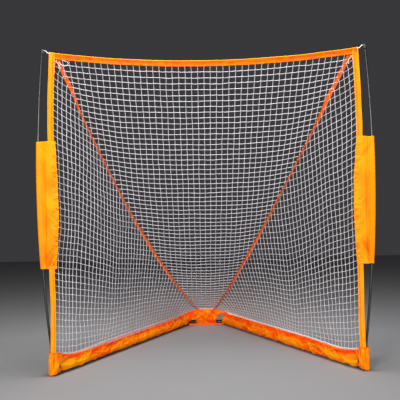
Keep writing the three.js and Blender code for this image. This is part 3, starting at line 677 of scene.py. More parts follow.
def webbing_finish():
    """Ribbed webbing with a painted highlight on its ribs and a random tone."""
    f = Finish("orange_webbing").constants(Specular_IOR_Level=0.1)
    tone = f.mottle(30.0)
    weave = f.weave(0.0030)
    base = colour("webbing")
    light = (min(base[0] * 1.1, 1.0), base[1] * 1.9, base[2] * 1.6, 1.0)
    # Painted highlight on the ribs, where the weave is high, with a random tone from the mottle.
    share = f.math("MULTIPLY_ADD", weave, 0.35, f.math("MULTIPLY", tone, 0.7))
    f.to_surface("Base Color", f.mix(share, base, light))
    f.to_surface("Roughness", f.ramp(tone, 0.3, 0.7, 0.6, 0.8))
    f.bump(weave, 0.6, 0.0006)
    return f.material


def cord_finish(name, dark, light, rough, braid_scale, braid_depth, strength, tone_scale, **looks):
    """Braided or twisted cord with a tone between dark and light."""
    def make():
        f = Finish(name).constants(**looks)
        tone = f.mottle(tone_scale)
        f.to_surface("Base Color", f.mix(tone, dark, light))
        f.to_surface("Roughness", f.ramp(tone, 0.3, 0.7, *rough))
        f.bump(f.braid(braid_scale), strength, braid_depth)
        return f.material
    return make


def net_finish():
    """Knotted cord, white, with a painted orange reflection of the cloth low down beside it."""
    f = Finish("net_cord").constants(Sheen_Weight=0.1, Specular_IOR_Level=0.3)
    split = f.node("ShaderNodeSeparateXYZ", [("Vector", f.place["Object"])]).outputs
    low = f.ramp(split["Z"], 0.42, 0.10)
    rear = f.ramp(split["Y"], -0.75, 0.7)
    tone = f.mottle(45.0)
    # Painted reflection of the orange cloth on the cord: strongest low down and towards the rear,
    # varied by the mottle.
    bounce_share = f.math("MULTIPLY", low, f.math("MULTIPLY", rear, 0.8))
    bounce_share = f.math("MULTIPLY", bounce_share, f.ramp(tone, 0.3, 0.6, 0.5, 1.0))
    base = f.mix(f.ramp(tone, 0.35, 0.65), colour("net"), (0.66, 0.64, 0.67, 1.0))
    f.to_surface("Base Color", f.mix(bounce_share, base, colour("painted_cloth_bounce")))
    f.to_surface("Roughness", f.ramp(tone, 0.3, 0.7, 0.5, 0.7))
    f.bump(f.braid(1100.0), 0.5, 0.0004)
    return f.material


def resin_finish():
    """Glossy black resin of the rods, with faint rubbed streaks."""
    f = Finish("black_resin").constants(Coat_Weight=0.25, Coat_Roughness=0.22)
    stretch = f.node(
        "ShaderNodeMapping", [("Vector", f.place["Object"]), ("Scale", (60.0, 60.0, 2.0))])
    tone = f.mottle(3.0, stretch.outputs["Vector"])
    rubbed = f.ramp(tone, 0.55, 0.8)
    f.to_surface("Base Color", f.mix(rubbed, colour("pole"), (0.035, 0.035, 0.038, 1.0)))
    f.to_surface("Roughness", f.ramp(tone, 0.35, 0.7, 0.30, 0.42))
    return f.material


def steel_finish(name, dark, light, rough_low, rough_high, metallic):
    """Metal with drawn streaks and a mottled tone."""
    def make():
        f = Finish(name).constants(Metallic=metallic)
        tone = f.mottle(70.0)
        f.to_surface("Base Color", f.mix(tone, dark, light))
        f.to_surface("Roughness", f.ramp(tone, 0.3, 0.7, rough_low, rough_high))
        grain = f.node("ShaderNodeTexNoise", [("Vector", f.place["Object"]), ("Scale", 900.0)])
        f.bump(grain.outputs["Fac"], 0.2, 0.0002)
        return f.material
    return make


def floor_finish():
    """Plain matt floor with the faintest unevenness of tone."""
    f = Finish("studio_floor")
    tone = f.mottle(0.6)
    base = colour("floor")
    darker = (*(c * 0.94 for c in base[:3]), 1.0)
    f.to_surface("Base Color", f.mix(tone, darker, base))
    f.to_surface("Roughness", f.ramp(tone, 0.3, 0.7, 0.75, 0.85))
    return f.material


MAKERS = {
    "cloth": cloth_finish,
    "webbing": webbing_finish,
    "thread": cord_finish(
        "orange_thread", (0.78, 0.10, 0.004, 1), (1.0, 0.36, 0.03, 1), (0.4, 0.6),
        2500.0, 0.0002, 0.4, 60.0, Specular_IOR_Level=0.5),
    "net": net_finish,
    "elastic": cord_finish(
        "white_elastic", (0.70, 0.68, 0.68, 1), (0.90, 0.89, 0.90, 1), (0.55, 0.75),
        1400.0, 0.0005, 0.7, 80.0, Sheen_Weight=0.2),
    "resin": resin_finish,
    "coated_steel": steel_finish(
        "coated_steel", (0.012, 0.012, 0.014, 1), (0.028, 0.028, 0.030, 1), 0.30, 0.46, 0.0),
    "bright_steel": steel_finish(
        "bright_steel", (0.52, 0.53, 0.55, 1), (0.68, 0.69, 0.70, 1), 0.22, 0.38, 1.0),
    "spring_steel": steel_finish(
        "spring_steel", (0.28, 0.30, 0.34, 1), (0.42, 0.44, 0.47, 1), 0.28, 0.42, 1.0),
    "dark_metal": steel_finish(
        "dark_metal", (0.02, 0.02, 0.022, 1), (0.06, 0.06, 0.062, 1), 0.28, 0.45, 0.9),
    "rubber": steel_finish(
        "black_rubber", (0.014, 0.014, 0.014, 1), (0.028, 0.028, 0.028, 1), 0.55, 0.72, 0.0),
    "floor": floor_finish,
}

CAD_FINISHES = {
    "rear_elbow_tube": "coated_steel", "rail_": "coated_steel", "corner_bracket": "coated_steel",
    "pole_foot": "bright_steel", "lock_button": "bright_steel", "button_spring": "spring_steel",
    "boot_eyelet": "dark_metal", "pole_tip": "rubber",
}


# Net


def net_knots(keys, place):
    """Knots by their place on the grid, each a little out of line."""
    shaken = {}
    for key in keys:
        at = place(*key)
        lilt = noise.noise_vector(at * 7.0) * KNOT_LILT
        tremor = noise.noise_vector(at * 61.0) * KNOT_TREMOR
        shaken[key] = at + lilt + tremor
    return shaken


def slack_line(points, slack):
    """The points with a slightly sagging point between each two."""
    line = [points[0]]
    for a, b in zip(points, points[1:]):
        between = (a + b) / 2
        wander = noise.noise_vector(between * 83.0) * slack
        line += [between + wander + Vector((0, 0, -slack * 0.4)), b]
    return line


def add_knots(bm, places, width):
    """Adds a small lump, turned at random, at each place."""
    lumps = []
    for at in places:
        along = noise.noise_vector(at * 97.0).normalized() * width
        lumps.append([at + along * share for share in (-0.60, -0.34, 0.34, 0.60)])
    strands(bm, lumps, width, (0.35, 1.0, 1.0, 0.35))


def net_piece(name, node, lines, knots):
    bm = bmesh.new()
    strands(bm, [slack_line(line, CORD_SLACK) for line in lines], sizes().net_cord)
    add_knots(bm, knots, sizes().knot)
    piece = finished(name, bm, finish("net"))
    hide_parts(node)


def seam_rise(x, share):
    """How far rows rise to the tight seams beside them, as a share of the way down."""
    beside = min(max(1 - (half_width(share) - abs(x)) / 0.28, 0.0), 1.0)
    held = smooth(0.0, 0.12, share) * (1 - smooth(0.70, 1.0, share))
    return 0.026 * beside ** 2 * held / NET_LENGTH


def net_reach(share, side):
    """How far the columns reach to a side: the left half hangs straight to its swayed seam."""
    return half_width(share) - (0 if side > 0 else sway(share).x)


def meeting(x):
    """Share of the way down at which a column meets its seam."""
    low, high = 0.0, 1.0
    for _ in range(24):
        half = (low + high) / 2
        if abs(x) < net_reach(half, x):
            low = half
        else:
            high = half
    return low


def back_net():
    pitch = sizes().mesh_pitch
    rows = round(NET_LENGTH / pitch)
    columns = int(NET_TOP_HALF / pitch)

    def place(i, j):
        x, share = i * pitch, j / rows
        share -= seam_rise(x, share)
        return back_point(x, share) + sway(share, (max(x, 0) / half_width(share)) ** 2)

    held = [
        (i, j) for j in range(rows + 1) for i in range(-columns, columns + 1)
        if abs(i * pitch) < net_reach(j / rows, i) - 0.3 * pitch
    ]
    knots = net_knots(held, place)
    lines = []
    for j in range(1, rows + 1):
        row = [knots[k] for k in held if k[1] == j]
        share = j / rows - seam_rise(half_width(j / rows), j / rows)
        lines.append([seam_point(share, -1), *row, seam_point(share, 1)])
    for i in range(-columns, columns + 1):
        column = [knots[k] for k in held if k[0] == i]
        if column and abs(i * pitch) > NET_REAR_HALF:
            column.append(seam_point(meeting(i * pitch), 1 if i >= 0 else -1))
        if len(column) > 1:
            lines.append(column)
    net_piece("back_net", "net_back", lines, [knots[k] for k in held if k[1] > 0])
    lashings()


def lashings():
    """White loops that tie the net into the mouth's upper corners and along the rear flap."""
    loop_cord, tie_cord, foot_cord = 0.0040, 0.0036, 0.0052
    bm = bmesh.new()
    loop = [
        (0.926, 0.030), (0.902, 0.040), (0.872, 0.052), (0.850, 0.060), (0.842, 0.072),
        (0.852, 0.084), (0.871, 0.087), (0.889, 0.076), (0.902, 0.060),
    ]
    strands(bm, [[
        Vector((-x, MOUTH_Y + 0.004 + 0.03 * down, TOP_Z - down)) for x, down in loop
    ]], loop_cord)
    tie = [(0.926, 0.050), (0.915, 0.062), (0.903, 0.074), (0.897, 0.090), (0.903, 0.104)]
    for side in SIDES.values():
        strands(bm, [[
            Vector((side * x, MOUTH_Y + 0.002 + 0.02 * down, TOP_Z - down)) for x, down in tie
        ]], tie_cord)
    steps = 16
    foot = []
    for i in range(steps + 1):
        at = seam_point(1.0, -1).lerp(seam_point(1.0, 1), i / steps)
        at += noise.noise_vector(at * 31.0) * 0.0025
        foot.append(at + Vector((0, -0.010, 0.001)))
    strands(bm, [foot], foot_cord)
    finished("lashings", bm, finish("elastic"))


def side_net(side_name):
    side = SIDES[side_name]
    pitch = sizes().mesh_pitch
    columns = int(SIDE_LENGTH / pitch)

    def place(i, j):
        share = i * pitch / SIDE_LENGTH
        rise = j * pitch / side_height(share)
        share -= SIDE_CROWD[side] * smooth(0.0, 0.14, share) * smooth(1.0, 0.4, share) * smooth(
            0.95, 0.35, rise)
        return side_point(share, rise, side)

    def rows_at(i):
        return int(side_height(i * pitch / SIDE_LENGTH) / pitch - 0.3)

    held = [(i, j) for i in range(columns + 1) for j in range(rows_at(i) + 1)]
    knots = net_knots(held, place)
    lines = []
    for j in range(1, rows_at(0) + 1):
        row = [knots[k] for k in held if k[1] == j]
        meet = (FRONT_HEIGHT - j * pitch) / (FRONT_HEIGHT - REAR_HEIGHT)
        if meet < 1:
            row.append(seam_point(meet, side))
        if len(row) > 1:
            lines.append(row)
    for i in range(columns + 1):
        column = [knots[k] for k in held if k[0] == i]
        lines.append([*column, seam_point(i * pitch / SIDE_LENGTH, side)])
    net_piece(
        f"{side_name}_net", f"net_side_{side_name}", lines, [knots[k] for k in held if k[1] > 0])


# Cords


def border_lacing(side_name):
    """The cord along the foot of a side net and the thinner one wound round it and the cloth."""
    side = SIDES[side_name]
    cord_width, caught_width, wound_width = 0.0046, 0.0040, 0.0030
    steps = 120
    drop = Vector((-side * 0.004, 0, -0.002))

    def cord_point(share):
        at = side_point(share, 0.0, side) + drop
        return at + noise.noise_vector(at * 23.0) * 0.0018

    cord = [cord_point(0.002 + 0.983 * i / steps) for i in range(steps + 1)]
    turns = 165
    per_turn = 8
    wound = []
    for i in range(turns * per_turn + 1):
        angle = 2 * math.pi * i / per_turn
        share = 0.004 + 0.976 * i / (turns * per_turn)
        centre = cord_point(share) + Vector((side * 0.002, 0, -0.0055 if side < 0 else -0.0030))
        deep = 0.0115 if side < 0 else 0.0062
        deep *= 1 + 0.35 * wobble(share * 90.0, side, 1.0)
        wound.append(centre + Vector((0.0066 * math.cos(angle), 0, deep * math.sin(angle))))
    caught = [
        cord_point(0.30 + 0.60 * i / steps) + Vector((-side * 0.0078, -0.001, -0.0165))
        for i in range(steps + 1)
    ]
    bm = bmesh.new()
    fading = [0.6 + 0.4 * smooth(0.10, 0.32, i / steps) for i in range(steps + 1)]
    strands(bm, [cord], cord_width, fading)
    if side < 0:
        strands(bm, [caught], caught_width)
    strands(bm, [wound], wound_width)
    lace = finish("net" if side < 0 else "elastic")
    piece = finished(f"{side_name}_border_lacing", bm, lace)
    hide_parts(f"border_cord_{side_name}")


def corner_cord(side_name):
    """Elastic cord from the hem's corner to the pole's tip, with a slight S."""
    side = SIDES[side_name]
    low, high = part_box(f"corner_cord_{side_name}")
    near = low[0] if side > 0 else high[0]
    far = high[0] if side > 0 else low[0]
    reach = far - near
    front = low[1] + sizes().elastic / 2
    rise = high[2] - low[2] - sizes().elastic
    floor = low[2] + sizes().elastic / 2
    shares = (
        (0.00, 0.00, 0.05), (0.08, 0.00, 0.00), (0.18, 0.00, 0.02), (0.27, 0.02, 0.08),
        (0.35, 0.08, 0.18), (0.44, 0.18, 0.33), (0.53, 0.32, 0.50), (0.61, 0.46, 0.66),
        (0.69, 0.60, 0.80), (0.77, 0.73, 0.90), (0.85, 0.85, 0.96), (0.93, 0.94, 0.99),
        (1.00, 1.00, 1.00),
    )
    depth = MOUTH_Y + POLE_SETBACK - front
    line = [
        Vector((near + reach * x, front + depth * y, floor + rise * z)) for x, y, z in shares
    ]
    bm = bmesh.new()
    round_rod(bm, [(p, sizes().elastic / 2) for p in line], 16)
    piece = finished(f"{side_name}_corner_cord", bm, finish("elastic"))
    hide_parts(f"corner_cord_{side_name}")
    return piece, line, line_length(line)


# Cloth


def hem_section(share):
    """Front or back of a hem: how far down from its edge, and how thick, as shares of its width."""
    shares = (
        (0.00, 0.00), (0.01, 0.60), (0.05, 1.00), (0.11, 1.00), (0.15, 0.72), (0.20, 0.56),
        (0.40, 0.60), (0.60, 0.56), (0.66, 0.50), (0.69, 0.16), (0.72, 0.52), (0.82, 0.72),
        (0.92, 0.64), (0.98, 0.40), (1.00, 0.00),
    )
    at = share * (len(shares) - 1)
    low = min(int(at), len(shares) - 2)
    return [blend(a, b, at - low) for a, b in zip(shares[low], shares[low + 1])]


def hem_band(name, node, length, edge, inward, width, face, seed):
    """A folded hem along edge(u): its rolled edge first, its stitched lip inwards, width(u) wide.
    The face is how bright the middle, the rolled edge and the lip are painted, as painted light and
    shade."""
    fat = 0.0034
    middle_tone, edge_tone, lip_tone = face

    def place(u, v):
        back = v > 0.5
        down, thick = hem_section(2 - 2 * v if back else 2 * v)
        along = u * length
        pucker = wobble(along / 0.034, down * 2.2, seed)
        tuck = wobble(along / 0.011, down * 1.5, seed + 9.0)
        wave = wobble(along / 0.20, down, seed + 3.0)
        lip = smooth(0.50, 0.72, down)
        body = smooth(0.10, 0.30, down)
        out = fat * thick * (1 + 0.55 * pucker * body + 0.45 * tuck * lip) * (-1 if back else 1)
        out += 0.0022 * wave
        # Painted light: brighter on the crests of puckers and tucks and on the rolled edge, and
        # painted shade in the stitched groove.
        tone = blend(middle_tone, lip_tone, lip) + 0.14 * pucker + 0.14 * tuck * lip
        tone = blend(edge_tone, tone, smooth(0.10, 0.16, down))
        tone -= 0.55 * math.exp(-((down - 0.69) / 0.022) ** 2)
        at = edge(u) + inward * (width(u) * down + 0.0012 * tuck * lip)
        at.z = min(at.z, hem_edge(at.x) + 0.0005)
        return at + Vector((0, -out, 0)), tone

    bm = cloth_grid((length, 2 * HEM_WIDTH), (int(length / 0.006), 56), place, closed=True)
    bmesh.ops.holes_fill(bm, edges=bm.edges, sides=0)
    bmesh.ops.recalc_face_normals(bm, faces=bm.faces)
    piece = finished(name, bm, finish("cloth"))
    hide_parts(node)


def top_hem():
    length = 2 * HEM_OUTER_X * 1.0035

    def edge(u):
        x = HEM_OUTER_X * (2 * u - 1)
        waver = 0.0014 * wobble(x * 6.0, 2.0, 5.0)
        return Vector((x, MOUTH_Y, hem_edge(x) + waver))

    # Painted shade on the hem's face and a painted highlight on its rolled top edge, where light falls
    # from above.
    hem_band(
        "top_hem", "hem_top", length, edge, Vector((0, 0, -1)), lambda u: TOP_FACE,
        (0.20, 1.0, 0.40), 2.0)
    hem_stitches("top_hem_stitches", [
        [edge(i / 160) + Vector((0, -0.0026, -TOP_FACE * 0.69)) for i in range(161)]])


def side_edge(z, side):
    """Outer edge of a side hem, which leans in to the foot and is drawn out of true."""
    return HEM_OUTER_X - FOOT_INSET * (1 - z / TOP_Z) + drift(HEM_DRIFT[side], z)


def side_width(z, side):
    """Width of a side hem, which is drawn together low down."""
    return blend(0.031 if side < 0 else 0.035, 0.0375, smooth(0.40, 1.0, z))


def hem_inner(z, side):
    return side_edge(z, side) - side_width(z, side)


def side_hem(side_name):
    side = SIDES[side_name]
    length = TOP_Z - HEM_FOOT_Z
    y = HEM_FRONT_Y + 0.002

    def edge(u):
        z = blend(HEM_FOOT_Z, TOP_Z, u)
        under = 0.0036 * smooth(TOP_Z - 0.062, TOP_Z - 0.040, z)
        return Vector((side * side_edge(z, side), y + under, z))

    def width(u):
        return side_width(edge(u).z, side)

    # A painted highlight on each side hem's rolled outer edge, with painted light and shade on its
    # middle and lip.
    hem_band(
        f"{side_name}_hem", f"hem_{side_name}", length, edge, Vector((-side, 0, 0)), width,
        (0.76, 1.0, 0.66), 11.0 + side)
    hem_stitches(f"{side_name}_hem_stitches", [
        [edge(i / 160) + Vector((-side * width(i / 160) * share, -0.0032, 0)) for i in range(159)]
        for share in (0.17, 0.69)])


def hem_stitches(name, lines):
    bm = bmesh.new()
    strands(bm, [dash for line in lines for dash in stitch_dashes(line)], THREAD)
    finished(name, bm, finish("thread"))


def seam_tape(side_name):
    """Webbing along a seam, curled and turned away from the mouth. It lies outside the net near
    the top, where cords cross it, and on the inner side of the net lower down."""
    side = SIDES[side_name]
    start, end = 0.004, 0.992
    slack = 1.06
    length = (end - start) * NET_LENGTH * slack

    def place(u, v):
        share = blend(start, end, u)
        at = seam_point(share, side)
        along = (seam_point(share + 0.004, side) - seam_point(share - 0.004, side)).normalized()
        to_middle = (Vector((0, at.y, at.z)) - at).normalized()
        to_foot = (net_foot(share, side) - at).normalized()
        inward = to_middle + to_foot + Vector((0, -0.8, 0))
        inward = (inward - along * inward.dot(along)).normalized()
        top = 0.26 if side > 0 else 0.50
        turning = smooth(0.05, 0.25, u) if side > 0 else smooth(0.02, 0.14, u)
        twist = blend(top, 1.36, turning) - 0.62 * smooth(0.38, 0.62, u)
        twist += 0.35 * smooth(0.78, 0.96, u)
        twist += 0.20 * wobble(share * 13.0, side, 4.0)
        inward = Matrix.Rotation(-side * twist, 3, along) @ inward
        across = along.cross(inward)
        curl = 0.95 * (2 * v - 1)
        radius = sizes().tape_width / 1.9
        ripple = 0.0016 * wobble(share * 70.0, v * 1.4, side * 3.0)
        outside = blend(-0.0085, 0.0062, smooth(0.085, 0.135, u))
        at += inward * (outside + ripple + radius * (1 - math.cos(curl)))
        at += across * (radius * math.sin(curl))
        return at, 0.5

    bm = cloth_grid((length, sizes().tape_width), (340, 8), place)
    piece = finished(f"{side_name}_seam_tape", bm, finish("webbing"))
    thicken(piece, WEBBING_WALL)
    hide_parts(f"seam_tape_{side_name}")


def side_pocket(side_name):
    """Sleeve for the pole: a front sheet over the hem, wrapped round the pole and sewn behind."""
    side = SIDES[side_name]
    bottom, top = POCKET_LOW[2], POCKET_HIGH[2]
    height = top - bottom
    wrap = 0.0128
    width = 0.30
    inner_x = 0.909
    mid_z = 1.03

    def section(z):
        inner = inner_x + drift(POCKET_DRIFT[side], z)
        pole = pole_x(z)
        front = HEM_FRONT_Y - 0.0045
        axis = MOUTH_Y + POLE_SETBACK
        ring = [
            Vector((pole + wrap * math.cos(a), axis + wrap * math.sin(a)))
            for a in (math.radians(d) for d in range(-100, 141, 16))
        ]
        return [
            Vector((inner, front + 0.0020)), Vector((inner + 0.004, front)),
            Vector((0.945, front)), Vector((0.968, front + 0.0015)),
            Vector((pole - 0.020, axis - wrap * 0.85)), *ring,
            Vector((pole - 0.022, axis + wrap * 0.45)), Vector((HEM_OUTER_X + 0.001, MOUTH_Y + 0.003)),
        ]

    def wrinkles(share, v, z):
        """Diagonal pulls at both ends, puckers beside the net, a soft belly between."""
        end = max(smooth(0.30, 0.02, share), smooth(0.72, 0.98, share))
        across = v * width
        slant = -1 if share > 0.5 else 1
        diagonal = wobble((z + slant * across * 1.1) / 0.030, across / 0.16, side)
        pucker = wobble(z / 0.016, across / 0.05, 4.0 + side)
        edge = smooth(0.24, 0.02, v)
        belly = wobble(z / 0.11, across / 0.07, 8.0 + side)
        lean = wobble((z - 0.8 * across) / 0.026, across / 0.09, 15.0 + side)
        lean *= smooth(0.55, 0.30, abs(share - 0.42)) * smooth(0.46, 0.20, v)
        return (0.0028 * end * diagonal + 0.0036 * edge * pucker + 0.0016 * belly
                + 0.0022 * max(lean - 0.1, 0.0))

    def place(u, v):
        z = blend(bottom, top, u)
        flat = path_share(section(z), v)
        on_front = smooth(0.50, 0.40, v)
        h = wrinkles(u, v, z) * on_front
        groove = 0.0022 * math.exp(-((v - 0.345) / 0.012) ** 2)
        at = Vector((side * flat.x, flat.y - max(h, -0.0022) + groove * on_front, z))
        at.z += 0.0025 * wobble(v * 9.0, side, 2.0)
        # Painted light: brighter on wrinkle crests, the hemmed ends and the upper part, and painted
        # shade in the stitched groove and on the lower part.
        hem = smooth(0.03, 0.018, u) + smooth(0.97, 0.982, u)
        painted_low_shade = 0.16 * smooth(0.35, 0.0, u)
        painted_high_light = 0.14 * smooth(0.45, 1.0, u)
        return at, 0.68 + h * 165 - groove * 120 + 0.1 * hem - painted_low_shade + painted_high_light

    bm = cloth_grid((height, width), (170, 110), place)
    piece = finished(f"{side_name}_side_pocket", bm, finish("cloth"))
    thicken(piece, POCKET_WALL)
    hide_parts(f"side_pocket_{side_name}")
    flat_width = line_length(section(mid_z))
    lines = []
    for share in (0.335, 0.035):
        lines.append([
            place(i / 120, share)[0] + Vector((0, -0.0010, 0)) for i in range(1, 120)
        ])
    for u in (0.022, 0.978):
        lines.append([
            place(u, 0.02 + 0.42 * i / 40)[0] + Vector((0, -0.0010, 0)) for i in range(41)
        ])
    hem_stitches(f"{side_name}_pocket_stitches", lines)


def skirt_section(y, hem):
    """Half of the loop of cloth over a rail, from its hem up to the pinched top."""
    top = skirt_top(y)
    full = blend(0.62, 1.0, smooth(-0.03, 0.10, y - SKIRT_FRONT_Y))
    bulge = (
        (0.026, hem), (0.033, hem + 0.010), (0.0385, hem + 0.024), (0.0370, 0.054),
        (0.030, 0.068), (0.020, 0.079),
    )
    return [Vector((n * full, z)) for n, z in bulge] + [
        Vector((0.0110, blend(0.084, top, 0.25))), Vector((0.0058, blend(0.084, top, 0.62))),
        Vector((0.0018, top)),
    ]


def skirt(side_name):
    """Crumpled sleeve over a base rail, pinched and laced to the net along its top."""
    side = SIDES[side_name]
    front, rear = SKIRT_FRONT_Y - 0.030, SKIRT_REAR_Y + 0.004
    slant = (REAR_BAR_Y - MOUTH_Y) / math.hypot(
        REAR_BAR_Y - MOUTH_Y, RAIL_FRONT_X - REAR_CORNER_X)
    length = (rear - front) / slant
    width = 0.27
    hem = 0.018 if side < 0 else 0.013

    def fan(a, z):
        """Folds that spread from the boot's eyelet along the cloth beside it."""
        swing = math.atan2(z - 0.075, a + 0.012)
        return math.sin(10.0 * swing + 0.8 * side) * smooth(0.15, 0.03, a)

    def place(u, v):
        y = blend(front, rear, u)
        share = min(max((y - MOUTH_Y) / NET_DEPTH, 0), 1)
        lean = net_foot(share, 1).x - rail_x(y)
        outer = v > 0.5
        n, z = path_share(skirt_section(y, hem), 2 - 2 * v if outer else 2 * v)
        a, b = u * length, v * width
        low = smooth(0.10, 0.0, min(v, 1 - v))
        pinned = smooth(0.01, 0.09, abs(v - 0.5))
        spread = fan(a, z)
        h = crumple(a, b, 3.0 + 5 * side, LONG_CREASES)
        h = blend(h, 0.75 * spread, 0.8 * smooth(0.17, 0.05, a))
        gather = wobble(a / 0.014, b / 0.09, 31.0 + side)
        tucks = (1 - pinned) * 0.6 + smooth(0.22, 0.06, abs(v - 0.5)) * 0.5
        depth = sizes().crumple * (h * (0.15 + 0.85 * pinned) + 0.30 * gather * tucks)
        normal = 1 if outer else -1
        ragged = wobble(a / 0.050, side, v) + 0.5 * wobble(a / 0.018, side, v + 5)
        lip = 0.007 * low * ragged
        across = (normal * (n + max(depth, -0.5 * n)) + 0.002 * ragged * low) / slant
        across += lean * smooth(0.050, skirt_top(y), z)
        at = Vector((
            side * (rail_x(y) + across),
            y + 0.006 * wobble(a / 0.05, b / 0.05, 9.0) * smooth(0.0, 0.02, u),
            max(z + (0.35 * depth + 0.004 * h * pinned) * smooth(0.01, 0.05, z) + lip, 0.0015),
        ))
        # Painted light: a painted highlight on crumple crests, gathers and the front part beside the
        # boot, and painted shade in the recess under the lacing and along the lower hems. The base is
        # each side's painted light, a little darker on the right.
        recess_shade = smooth(0.26, 0.13, abs(v - 0.5)) * smooth(0.0, 0.03, abs(v - 0.5))
        base = 0.46 if side < 0 else 0.42
        painted_front_highlight = (0.46 if side < 0 else 0.34) * smooth(0.40, 0.16, a) * smooth(0.38, 0.24, v)
        return at, base + painted_front_highlight + 0.46 * h + 0.24 * gather * tucks - 0.34 * recess_shade - 0.25 * low

    bm = cloth_grid((length, width), (380, 64), place)
    piece = finished(f"{side_name}_skirt", bm, finish("cloth"))
    thicken(piece, sizes().cloth)
    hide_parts(f"skirt_{side_name}")
    gusset(side_name)


def gusset(side_name):
    """Cloth sewn to a skirt's rear end, up to the end of the seam beside the flap."""
    side = SIDES[side_name]
    y = SKIRT_REAR_Y - 0.001
    length = 0.165
    drop = 0.090

    def place(u, v):
        x = blend(0.212, 0.060, u)
        top = blend(SKIRT_HEIGHT - 0.004, NET_REAR_Z + 0.002, u)
        if side > 0:
            low = top - blend(0.030, 0.112, smooth(0.45, 1.0, u))
        else:
            low = top - blend(drop, 0.078, u)
        a, b = u * length, v * 0.07
        h = crumple(a * 1.2, b * 1.2, 51.0 + side)
        droop = 0.006 * wobble(a / 0.03, side, 3.0) * (1 - v)
        bow = 0.016 * math.sin(math.pi * v) * (1 - u)
        # The tone is painted light: brighter on crumple crests, with painted shade along the top edge.
        return Vector((
            side * x, y + 0.004 * u - bow - 0.008 * h * (1 - 0.7 * v), blend(low, top, v) + droop,
        )), 0.28 + 0.6 * h - 0.3 * smooth(0.75, 1.0, v)

    bm = cloth_grid((length, drop), (44, 24), place)
    piece = finished(f"{side_name}_gusset", bm, finish("cloth"))
    thicken(piece, sizes().cloth)


def corner_boot(side_name):
    """Pouch round the bracket, turned along the rail and open at its top and towards the rail."""
    side = SIDES[side_name]
    along = Vector((REAR_CORNER_X - RAIL_FRONT_X, REAR_BAR_Y - MOUTH_Y)).normalized()
    inward = Vector((-along.y, along.x))
    centre = Vector((0.9275, MOUTH_Y + 0.0132)) - inward * 0.003
    front, rear, half = 0.026, 0.042, 0.028
    height = BOOT_TOP_Z + 0.013
    eyelet = Vector([middle(f"boot_eyelet_{side_name}", axis) for axis in range(3)])
    hole = 0.0085
    girth = 0.22
    sole = 0.24

    def outline(angle):
        """Rounded rectangle in shares of its half sizes: outward and towards the rear."""
        c, s = math.cos(angle), math.sin(angle)
        reach = (abs(c) ** 5 + abs(s) ** 5) ** (-1 / 5)
        return c * reach, s * reach

    def place(u, v):
        ox, oy = outline(math.radians(blend(137, 403, u)))
        if v < sole:
            shrink, z = blend(0.10, 0.92, v / sole), 0.0015 + 0.0030 * (v / sole) ** 3
        else:
            rise = (v - sole) / (1 - sole)
            z = blend(0.005, height, rise)
            shrink = 1 - 0.08 * smooth(0.030, 0.0, z)
        girth_at = u * girth
        fold = 1 - 3.6 * abs(wobble(girth_at / 0.030, z / 0.16, 6.0 + side))
        crease = wobble(girth_at / 0.05 + z / 0.045, z / 0.05, 9.0 + side)
        swell = (0.0020 * fold + 0.0016 * crease) * smooth(0.002, 0.02, z)
        swell = max(swell, -0.0010) * (0.4 if ox > 0.6 else 1.0)
        plan = centre - inward * (ox * (half * shrink + swell))
        plan += along * (oy * ((rear if oy > 0 else front) * shrink + swell))
        lift = smooth(0.9, -0.8, ox) * smooth(0.075, 0.0, z) * blend(
            0.009, 0.021, smooth(-0.9, 0.5, oy))
        tilt = 0.010 * smooth(-0.2, 1.0, oy) * smooth(0.06, height, z)
        at = Vector((side * plan.x, plan.y + 0.5 * lift, z + lift - tilt))
        flat = smooth(0.030, 0.013, (at - eyelet).length)
        at.x = blend(at.x, eyelet.x, flat)
        # Painted light: brighter on the crests of the folds and creases, and painted shade on the top
        # rim and on the rear side.
        edge = smooth(height - 0.010, height - 0.004, z)
        tone = 0.38 + 0.26 * fold + 0.32 * crease - 0.25 * edge - 0.30 * smooth(0.5, 1.0, oy)
        return at, tone

    bm = cloth_grid((girth, height + 0.03), (120, 72), place)
    holed = [f for f in bm.faces if (f.calc_center_median() - eyelet).length < hole]
    bmesh.ops.delete(bm, geom=holed, context="FACES")
    piece = finished(f"{side_name}_boot", bm, finish("cloth"))
    thicken(piece, BOOT_WALL)
    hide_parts(f"boot_{side_name}")


def rear_flap():
    """Tongue of cloth that hangs from the net and wraps the rear bar."""
    wrap = RAIL_RADIUS + 0.0022
    width = 0.17
    path = [Vector((MOUTH_Y + NET_DEPTH - 0.002, NET_REAR_Z + 0.003))]
    for degrees in range(168, 421, 14):
        angle = math.radians(degrees)
        path.append(Vector((REAR_BAR_Y + wrap * math.cos(angle), RAIL_Z + wrap * math.sin(angle))))
    length = line_length(path)

    def place(u, v):
        y, z = path_share(path, v)
        half = blend(0.070, 0.090, smooth(0.0, 0.45, v))
        a, b = u * width, v * length
        h = crumple(a * 1.15, b * 1.15, 24.0)
        free = smooth(0.0, 0.08, v) * (1 - 0.70 * smooth(0.50, 0.62, v))
        edge = 0.006 * wobble(b / 0.026, round(u), 3.0) * abs(2 * u - 1) ** 4
        gather = wobble(a / 0.012, b / 0.06, 3.0) * smooth(0.35, 0.0, v)
        x = (2 * u - 1) * half + edge
        y -= (0.0100 * (h * 0.5 + 0.6) + 0.004 * gather) * free
        # Painted light: brighter on crumple crests and gathers, with painted shade at the top, where
        # the flap hangs from the net.
        tone = 0.30 + 0.5 * h + 0.3 * gather - 0.25 * smooth(0.10, 0.0, v)
        return Vector((x, y, max(z + 0.004 * h * free, 0.0008))), tone

    bm = cloth_grid((width, length), (56, 110), place)
    piece = finished("rear_flap_cloth", bm, finish("cloth"))
    thicken(piece, sizes().cloth)
    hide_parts("rear_flap")


